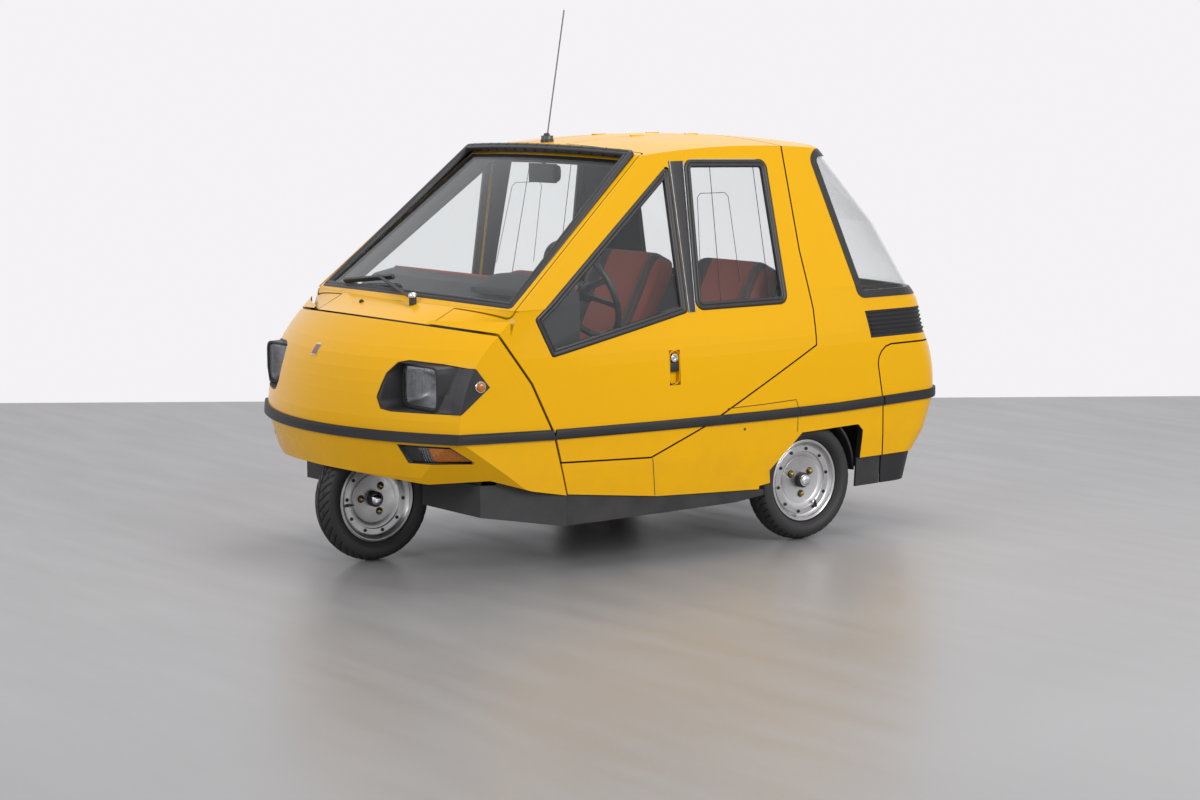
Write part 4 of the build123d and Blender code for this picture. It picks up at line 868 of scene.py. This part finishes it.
front, rear = hood[0] * (1, 1, 0) + (0, 0, 0.925), hood[-1] * (1, 1, 0) + (0, -0.004, 0.925)
build("instrument_hood", [grid(np.concatenate([front[None], hood, rear[None]]))], grained_black, "body",
      sharp=45.0)
dial_shift, dial_z = 0.062, 0.962
finish = Finish("dial_face")
clock = ((finish.x - driver_x).absolute() - dial_shift) ** 2.0 + (finish.z - dial_z) ** 2.0
dial_ring = (clock ** 0.5).ramp(0.0225, 0.0235) * (1.0 - (clock ** 0.5).ramp(0.0262, 0.0272))
ticks = (finish.x * 2400.0).math("SINE", finish.x * 2400.0) > 0.2
dial_face = finish.close((dial_ring * ticks).mix((0.012, 0.012, 0.013), (0.75, 0.75, 0.72)), 0.25,
                         Coat_Weight=0.8)
dial = [(0, -0.004), (0.0345, -0.004), (0.0350, 0.0030), (0.0335, 0.0042), (0.0315, 0.0030),
        (0.0305, 0.0010), (0, 0.0010)]
dials = [lathe(dial, (driver_x + shift, -0.4815, dial_z), (0, 1, 0.02), 40)
         for shift in (-dial_shift, dial_shift)]
build("dash_dials", dials, dial_face, "body")

# ---- steering wheel ------------------------------------------------------------------------------
# Black foam rim with finger dents at the back, four grey pressed spokes and a padded horn bar.
finish = Finish("wheel_foam")
grain = finish.cells(650.0)
wheel_foam = finish.close(grain.mix((0.016, 0.016, 0.017), (0.032, 0.032, 0.033)), 0.42,
                          finish.bump(grain, 0.15))
spoke_plate = speckled("spoke_plate", 35.0, 3.0, (0.15, 0.15, 0.155), (0.07, 0.07, 0.072), 0.40, 0.15,
                       Metallic=0.5)
wheel_middle = np.array((driver_x, -0.272, 0.921))
rake = radians(25)
column = np.array((0.0, cos(rake), sin(rake)))
wheel_up = np.array((0.0, -sin(rake), cos(rake)))
wheel_right = np.array((1.0, 0.0, 0.0))
turn = np.linspace(0, 2 * pi, 20, endpoint=False)
rim_radius, grip_radius = 0.185, 0.0115
rim_section = np.stack([rim_radius + grip_radius * np.cos(turn), grip_radius * np.sin(turn)], 1)
rim_turns, dent_count = 192, 48
dents = (0.0012 * (np.cos(turn) < -0.2)[:, None]
         * np.cos(np.arange(rim_turns) * 2 * pi * dent_count / rim_turns)[None])
build("wheel_rim", [lathe(rim_section, wheel_middle, column, rim_turns, closed=True, swell=dents)],
      wheel_foam, "hand_wheel", sharp=80.0, replaced=["steering_wheel"])
spokes = []
for angle in np.radians([17.0, -17.0, 163.0, 197.0]):
    away = wheel_right * cos(angle) + wheel_up * sin(angle)
    beside = -wheel_right * sin(angle) + wheel_up * cos(angle)
    rows = []
    for part in np.linspace(0, 1, 14):
        radius = 0.030 + part * 0.152
        wide, drop = 0.0140 - 0.004 * sin(pi * part), -0.020 * (1 - part) ** 1.5
        spot = wheel_middle + away * radius + column * drop
        rows.append([spot + beside * a + column * b
                     for a, b in ((-wide, -0.0015), (-wide, 0.0030), (-wide * 0.6, 0.0042),
                                  (wide * 0.6, 0.0042), (wide, 0.0030), (wide, -0.0015))])
    spokes.append(grid(capped(np.array(rows)), round_columns=True))
boss = [(0, -0.028), (0.031, -0.028), (0.033, -0.012), (0.030, -0.008), (0, -0.008)]
build("wheel_spokes", spokes + [lathe(boss, wheel_middle, column, 40)], spoke_plate, "hand_wheel",
      bevel=0.0008)
horn = Pad(wheel_middle + column * -0.004, wheel_right, wheel_up, (0.062, 0.036, 0.012), 6.0)
build("horn_bar", horn.faces(20), wheel_foam, "hand_wheel", sharp=80.0)

# ---- side strips ---------------------------------------------------------------------------------
# Round-faced black rubbing strip along nose, doors, sides and lid, clipped on in lengths that end at
# the panel seams, with its ends closed.
strip_line = np.array([(-1.300, 0.492), (-1.005, 0.492), (-0.650, 0.482), (-0.240, 0.478), (0.250, 0.474),
                       (0.600, 0.474), (0.850, 0.479), (1.300, 0.488)])
strip_section = [(-0.0168, 0.0004), (-0.0168, 0.0052), (-0.0158, 0.0078), (-0.0132, 0.0094),
                 (-0.0070, 0.0102), (0.0, 0.0104), (0.0070, 0.0102), (0.0132, 0.0094), (0.0158, 0.0078),
                 (0.0168, 0.0052), (0.0168, 0.0004)]


def strip_level(y):
    """Height of the strip's middle at a place along the car."""
    return float(np.interp(y, strip_line[:, 0], strip_line[:, 1]))


def strip_run(y0, y1, lean0=0.0, lean1=0.0, count=60):
    """Length of strip along the side between two places; lean slants an end with height."""
    rows = []
    for part in np.linspace(0, 1, count):
        y = y0 + (y1 - y0) * part
        middle = strip_level(y)
        lean = lean0 * max(0.0, 1 - part * 6) + lean1 * max(0.0, 1 - (1 - part) * 6)
        row = []
        for rise, proud in strip_section:
            at = np.array([[y + rise * lean, middle + rise]])
            spot, out = on_side(at)
            row.append(spot[0] + out[0] * proud)
        rows.append(row)
    return grid(capped(np.array(rows)), round_columns=True)


nose_count = 121
nose_path = []
for x in np.linspace(-0.614, 0.614, nose_count):
    level = strip_level(float(nose_y(x, 0.492)))
    slant = x / 1.089
    nose_path.append(((x, float(nose_y(x, level)), level), (slant, -np.sqrt(1 - slant ** 2), 0.0)))
corner_y = float(body_row(0.4915, 1)) + ridge_depth
nose_path.append(((0.6216, corner_y + 0.0004, 0.4914), (0.86, -0.51, 0.0)))
for y in np.linspace(corner_y + 0.006, -0.6486, 24):
    level = strip_level(y)
    spot, out = on_side(np.array([[y, level]]))
    nose_path.append((tuple(spot[0]), tuple(out[0])))
left_part = nose_path[nose_count:]
right_part = [((-p[0], p[1], p[2]), (-o[0], o[1], o[2])) for p, o in left_part[::-1]]
nose_path = right_part + nose_path[:nose_count] + left_part
path, outs = (np.array([pair[i] for pair in nose_path]) for i in (0, 1))
across_strip = [(-rise, proud) for rise, proud in strip_section]
nose_strip = sweep(path, outs, across_strip, closed=False)
build("nose_strip", [nose_strip], grained_black, "body", sharp=40.0)
body_strips = [strip_run(0.0700, 0.3990, 1.80, 0.0), strip_run(0.4090, 0.8225)]
door_strips = [strip_run(-0.6420, 0.0330, 0.35, 1.80)]
build("body_strips", body_strips + mirror_of(body_strips), grained_black, "body", sharp=40.0)
for side, turned in both_sides:
    build("door_strip_" + side, turned(door_strips), grained_black, "door_" + side,
          sharp=40.0, replaced=["door_%s_strip" % side])

# ---- panel seams ---------------------------------------------------------------------------------
# Joints between the body's separate mouldings where they don't open: a fine dark line with sealer.
seam_sealer = speckled("seam_sealer", 60.0, 2.0, (0.030, 0.018, 0.008), (0.10, 0.060, 0.010), 0.7)
seam_runs = [[(0.078, 0.5120), (0.250, 0.5140), (0.3960, 0.5180)],
             [(0.3960, 0.5180), (0.4050, 0.4930), (0.4040, 0.4020)], [(-0.2440, 0.3660), (-0.2280, 0.2360)]]
seams = []
seam_section = [(-0.0014, -0.0010), (-0.0014, 0.0005), (0.0014, 0.0005), (0.0014, -0.0010)]
for run in seam_runs:
    path, outs = on_side(dotted(run, 14))
    seams.append(sweep(path, outs, seam_section, closed=False))
plug_at = on_side(np.array([[0.157, 0.4330]]))
seams.append(lathe([(0, -0.002), (0.0050, -0.002), (0.0052, 0.0004), (0.0036, 0.0009), (0, 0.0010)],
                   plug_at[0][0], plug_at[1][0], 18))
build("panel_seams", seams + mirror_of(seams), seam_sealer, "body", sharp=40.0)

# ---- door handles --------------------------------------------------------------------------------
# A recessed finger pull: a chromed lock with its key barrel at the top and a black plastic flap under
# it, the lower half of the recess left open and painted.
handle_x = 0.6695
lock = [(0, -0.006), (0.0150, -0.006), (0.0152, 0.0060), (0.0140, 0.0084), (0.0112, 0.0090),
        (0.0100, 0.0070), (0.0098, 0.0040), (0.0050, 0.0040), (0.0048, 0.0066), (0, 0.0068)]
lock_shape = [lathe(lock, (handle_x - 0.002, -0.1500, 0.7060), (1, 0, 0), 40)]
rings = []
for shift, lift in ((0.0004, -0.012), (0.0004, 0.0052), (0.0012, 0.0064), (0.0028, 0.0060),
                    (0.0034, 0.0040), (0.0034, -0.012)):
    line = rounded_outline([(-0.1708, 0.6125), (-0.1252, 0.6125), (-0.1252, 0.7318), (-0.1708, 0.7318)],
                           0.0200, shift, 0.006)
    rings.append(np.stack([np.full(len(line), handle_x + lift - 0.001), line[:, 0], line[:, 1]], 1))
shortest = min(len(r) for r in rings)
rings = [r[np.linspace(0, len(r) - 1, shortest).astype(int)] for r in rings]
pull_frame = [grid(np.array(rings), round_rows=True, round_columns=True)]
flap_rows = []
for z, lift in ((0.6580, -0.004), (0.6580, 0.0040), (0.6592, 0.0066), (0.6660, 0.0078), (0.6760, 0.0074),
                (0.6870, 0.0052), (0.6900, 0.0030), (0.6900, -0.004)):
    flap_rows.append([(handle_x + lift - 0.004 * abs(p) ** 6, -0.1480 + 0.0195 * p, z)
                      for p in np.linspace(-1, 1, 13)])
flap_rows = np.array(flap_rows)
flap = [grid(np.concatenate([flap_rows[:, :1] * (0, 1, 1) + (handle_x - 0.004, 0, 0), flap_rows,
                             flap_rows[:, -1:] * (0, 1, 1) + (handle_x - 0.004, 0, 0)], 1),
             round_rows=True)]
for side, turned in both_sides:
    body = "door_" + side
    build("door_lock_" + side, turned(lock_shape), bright_chrome, body, sharp=30.0)
    build("door_flap_" + side, turned(flap), grained_black, body, sharp=35.0,
          replaced=[body + "_handle"])
    build("door_pull_" + side, turned(pull_frame), yellow_gelcoat, body, sharp=40.0)

# ---- vents ---------------------------------------------------------------------------------------
# Moulded black air outlets on the rear quarters, six sloping blades each, wrapping round to the tail.
def tail_path(z, start, inner=0.385, rear_end=1.106):
    """Plan of the body's rear corner at a height, from a place on the side to the rear end, with its
    outward directions."""
    heights = (0.660, 0.740, 0.840, belt_z)
    sides = (0.680, 0.674, 0.654, side_belt_x)
    ridges, tips = (0.626, 0.631, 0.636, 0.638), (-1.165, -1.125, -1.032, -0.962)
    side, ridge, tip = (float(np.interp(z, heights, v)) for v in (sides, ridges, tips))
    corner_y, tail = (float(np.interp(z, heights, v)) for v in ((1.130, 1.085, 1.058, 1.000),
                                                                (1.168, 1.145, 1.138, 1.103)))

    def flank(y):
        return side - (side - ridge) * ((y - side_middle) / (tip + ridge_depth - side_middle)) ** 2
    corner = np.array([flank(corner_y), corner_y])
    bow = (tail - corner_y) / corner[0] ** 2
    side_dir = flank(corner_y - 0.1) - corner[0], -0.1
    back_dir = -0.1, bow * (corner[0] ** 2 - (corner[0] - 0.1) ** 2)
    a, b = (np.array(d) / np.hypot(*d) for d in (side_dir, back_dir))
    opening = np.arccos(np.clip(a @ b, -1, 1))
    radius = 0.131
    run = radius / np.tan(opening / 2)
    middle = corner + (a + b) / np.linalg.norm(a + b) * radius / np.sin(opening / 2)
    first, last = corner + a * run, corner + b * run
    begin, end = (np.arctan2(*(p - middle)[::-1]) for p in (first, last))
    arc = [middle + radius * np.array([cos(t), sin(t)]) for t in np.linspace(begin, end, 14)]
    straight = [(flank(y), y) for y in np.linspace(start, first[1] - 0.004, 22)]
    behind = [(x, tail - bow * x ** 2) for x in np.linspace(last[0] - 0.004, inner, 8)]
    path = np.array(straight + arc + behind)
    path = path[(path[:, 0] >= inner - 1e-6) & (path[:, 1] <= rear_end)]
    ahead = np.gradient(path, axis=0)
    normal = np.stack([ahead[:, 1], -ahead[:, 0]], 1) / np.linalg.norm(ahead, axis=1)[:, None]
    return path, normal


slats = []
for i in range(6):
    low = 0.7175 + i * 0.0152
    path, normal = tail_path(low + 0.007, 0.7550 + (0.811 - low) * 0.242)
    spots = np.column_stack([path, np.full(len(path), low + 0.0070)])
    outs = np.column_stack([normal, np.zeros(len(path))])
    blade = [(-0.0062, -0.010), (-0.0066, 0.0004), (-0.0052, 0.0026), (-0.0018, 0.0022), (0.0060, -0.0042),
             (0.0066, -0.010)]
    slats.append(sweep(spots, outs, blade, closed=False))
build("vent_slats", slats + mirror_of(slats), grained_black, "body", sharp=35.0)

# ---- tail ----------------------------------------------------------------------------------------
# Blank number plate on the lid between its lamps, red lenses with amber ends, a lock button.
plate_white = speckled("plate_white", 20.0, 3.0, (0.70, 0.70, 0.68), (0.55, 0.55, 0.53), 0.35,
                       Coat_Weight=0.2)


def slab_y(x, z, y0, y1, corner, count=8):
    """Rounded plate facing along Y between two depths."""
    line = rounded_outline([(x[0], z[0]), (x[1], z[0]), (x[1], z[1]), (x[0], z[1])], corner, 0.0, 0.03)
    middle = line.mean(0)
    rows = [(middle + (line - middle) * size, y)
            for size, y in ((0.0, y0), (1.0, y0), (1.0, y1 - 0.0006), (0.995, y1), (0.0, y1))]
    return grid(np.array([np.stack([p[:, 0], np.full(len(p), y), p[:, 1]], 1) for p, y in rows]),
                round_columns=True)


build("number_plate", [slab_y((-0.255, 0.255), (0.354, 0.458), 1.1945, 1.1985, 0.010)], plate_white, "lid",
      sharp=30.0)
screw = [(0, -0.002), (0.0062, -0.002), (0.0062, 0.0012), (0.0040, 0.0022), (0, 0.0024)]
build("plate_screws", [lathe(screw, (x, 1.1984, 0.406), (0, 1, 0), 20) for x in (-0.150, 0.150)],
      bolt_steel, "lid", sharp=30.0)
# Lighter and darker red cells are painted glints of light in the lens facets; the amber ends are the lens's
# own colour.
finish = Finish("tail_red")
facets = finish.cells(150.0)
amber_end = (finish.x.absolute() - 0.470).ramp(0.018, 0.019)
tail_red = finish.close(amber_end.mix(facets.mix((0.50, 0.012, 0.010), (0.22, 0.004, 0.004)),
                                      (0.60, 0.19, 0.01)),
                        0.12 + facets * 0.1, finish.bump(facets, 0.3, 0.001), Coat_Weight=0.5)
dress(tail_red, "tail_lamps")
button = [(0, -0.010), (0.0170, -0.010), (0.0172, 0.0050), (0.0150, 0.0075), (0.0120, 0.0080),
          (0.0105, 0.0055), (0, 0.0055)]
build("lid_button", [lathe(button, (0.0, 1.1936, 0.612), (0, 1, 0.10), 36)], bright_chrome, "lid",
      sharp=30.0)

# ---- mirror, wiper and aerial --------------------------------------------------------------------
# Dipping mirror glued to the header, a single black wiper on a chromed cap, a washer nozzle, and a
# dull steel whip aerial on a rubber foot.
mirror_shell = Pad((-0.065, -0.166, 1.315), (-1, 0, 0), (0, 0.03, 1.0), (0.076, 0.034, 0.011), 5.0)
build("mirror_shell", mirror_shell.faces(22), grained_black, "body", sharp=80.0)
dress(speckled("wiper_black", 50.0, 2.0, (0.015, 0.015, 0.016), (0.04, 0.04, 0.042), 0.38, 0.2), "wiper")
dress(speckled("aerial_steel", 80.0, 2.0, (0.16, 0.16, 0.165), (0.09, 0.09, 0.092), 0.35, Metallic=0.6),
      "antenna")
cap = [(0.0, 0.0), (0.0150, 0.0), (0.0155, 0.0060), (0.0130, 0.0120), (0.0080, 0.0150), (0, 0.0155)]
build("wiper_cap", [lathe(cap, (0.150, -0.872, 0.921), (0, -0.15, 1.0), 32)], bright_chrome, "body",
      sharp=40.0)
foot = [(0.0, 0.0), (0.0245, 0.0), (0.0235, 0.0070), (0.0150, 0.0150), (0.0105, 0.0260), (0.0080, 0.0300),
        (0.0, 0.0305)]
build("aerial_foot", [lathe(foot, (-0.030, -0.175, 1.4295), (0, -0.09, 1.0), 40)], seal_rubber, "body",
      sharp=50.0)
nozzle = [(0.0, -0.004), (0.0085, -0.004), (0.0085, 0.0030), (0.0055, 0.0080), (0, 0.0090)]
build("washer_nozzle", [lathe(nozzle, (-0.130, -0.9045, 0.8868), (0, -0.45, 0.89), 24)], grained_black,
      "body", sharp=40.0)

# ---- nose badge ----------------------------------------------------------------------------------
# A small blank red enamel plate in a bright frame, set a little to the right of the middle.
badge_enamel = speckled("badge_enamel", 90.0, 2.0, (0.20, 0.012, 0.010), (0.10, 0.006, 0.006), 0.12,
                        Coat_Weight=0.8)
badge_plates = []
badge_x, badge_z = -0.075, 0.742
for half, lift, thick in ((0.0185, 0.0042, 0.006), (0.0155, 0.0052, 0.004)):
    spots = []
    for z in np.linspace(badge_z - half, badge_z + half, 5):
        spots.append([(x, float(nose_y(x, z)) - lift, z)
                      for x in np.linspace(badge_x - half, badge_x + half, 5)])
    spots = np.array(spots)
    badge_plates.append(plate_between(spots, spots + (0, thick, 0)))
build("badge_frame", badge_plates[0], bright_chrome, "body", sharp=30.0)
build("badge_plate", badge_plates[1], badge_enamel, "body", sharp=30.0)

# ---- studio --------------------------------------------------------------------------------------
# Plain pale floor running into a white surround, with broad soft lamps over and beside the car.
centre = np.array([7.8274, -5.7796, 1.7276])
azimuth, elevation, roll = radians(53.405), radians(7.302), radians(-0.336)
backward = np.array([sin(azimuth) * cos(elevation), -cos(azimuth) * cos(elevation), sin(elevation)])
level = np.cross(-backward, (0, 0, 1))
level /= np.linalg.norm(level)
upright = np.cross(level, -backward)
across = level * cos(roll) + upright * sin(roll)
above = upright * cos(roll) - level * sin(roll)
lens = bpy.data.cameras.new("camera")
lens.lens, lens.sensor_width = 80.19, 36.0
camera = bpy.data.objects.new("camera", lens)
turn = np.eye(4)
turn[:3, 0], turn[:3, 1], turn[:3, 2], turn[:3, 3] = across, above, backward, centre
camera.matrix_world = turn.T
bpy.context.scene.collection.objects.link(camera)
bpy.context.scene.camera = camera

# the floor ends 13.5 m from the camera, square to its view
ahead = np.array([-sin(azimuth), cos(azimuth), 0.0])
sideways = np.array([cos(azimuth), sin(azimuth), 0.0])
under = centre * (1, 1, 0)
floor_end = 13.5
corners = [under + ahead * a + sideways * b
           for a, b in ((-8, -30), (-8, 30), (floor_end, 30), (floor_end, -30))]
floor_mesh = bpy.data.meshes.new("floor")
floor_mesh.from_pydata([tuple(c) for c in corners], [], [(0, 1, 2, 3)])
floor = bpy.data.objects.new("floor", floor_mesh)
bpy.context.scene.collection.objects.link(floor)
finish = Finish("pale_floor")
cloud = finish.noise(0.9, 5.0)
trowel = finish.noise(1.4, 4.0, finish.stretch(1.0, 6.0, 1.0))
pale = (cloud * 0.6 + trowel * 0.4).mix((0.27, 0.27, 0.272), (0.36, 0.36, 0.362))
floor_mesh.materials.append(finish.close(pale, 0.22 + trowel * 0.22,
                                         finish.bump(finish.noise(40.0, 3.0), 0.02)))


def soft_lamp(name, place, aim, size, power):
    """Square lamp facing a point."""
    light = bpy.data.lights.new(name, "AREA")
    light.shape, light.size, light.energy = "SQUARE", size, power
    lamp = bpy.data.objects.new(name, light)
    direction = np.array(place, float) - np.array(aim, float)
    direction /= np.linalg.norm(direction)
    side = np.cross((0, 0, 1), direction)
    side /= np.linalg.norm(side)
    matrix = np.eye(4)
    matrix[:3, 0], matrix[:3, 1], matrix[:3, 2] = side, np.cross(direction, side), direction
    matrix[:3, 3] = place
    lamp.matrix_world = matrix.T
    bpy.context.scene.collection.objects.link(lamp)


soft_lamp("side_lamp", (6.5, 0.8, 3.4), (0.2, 0.0, 0.6), 3.2, 240.0)
soft_lamp("front_lamp", (0.5, -7.0, 3.6), (0.0, -0.6, 0.6), 2.6, 130.0)
soft_lamp("top_lamp", (-0.5, 1.0, 5.6), (0.0, 0.1, 0.0), 3.6, 130.0)

world = bpy.data.worlds.new("studio")
bpy.context.scene.world = world
world.use_nodes = True
world.node_tree.nodes.clear()
sky = Signal(world.node_tree)
rays = world.node_tree.nodes.new("ShaderNodeLightPath")
seen = (Signal(sky.tree, rays.outputs["Is Camera Ray"]) + Signal(sky.tree, rays.outputs["Is Glossy Ray"])
        + Signal(sky.tree, rays.outputs["Is Transmission Ray"])).clamp()
surround = sky.node("ShaderNodeBackground", (), {"Color": (0.905, 0.89, 0.915),
                                                 "Strength": seen * 0.48 + 0.52})
sky.node("ShaderNodeOutputWorld", (), {"Surface": surround})

scene = bpy.context.scene
scene.view_settings.view_transform = "Standard"
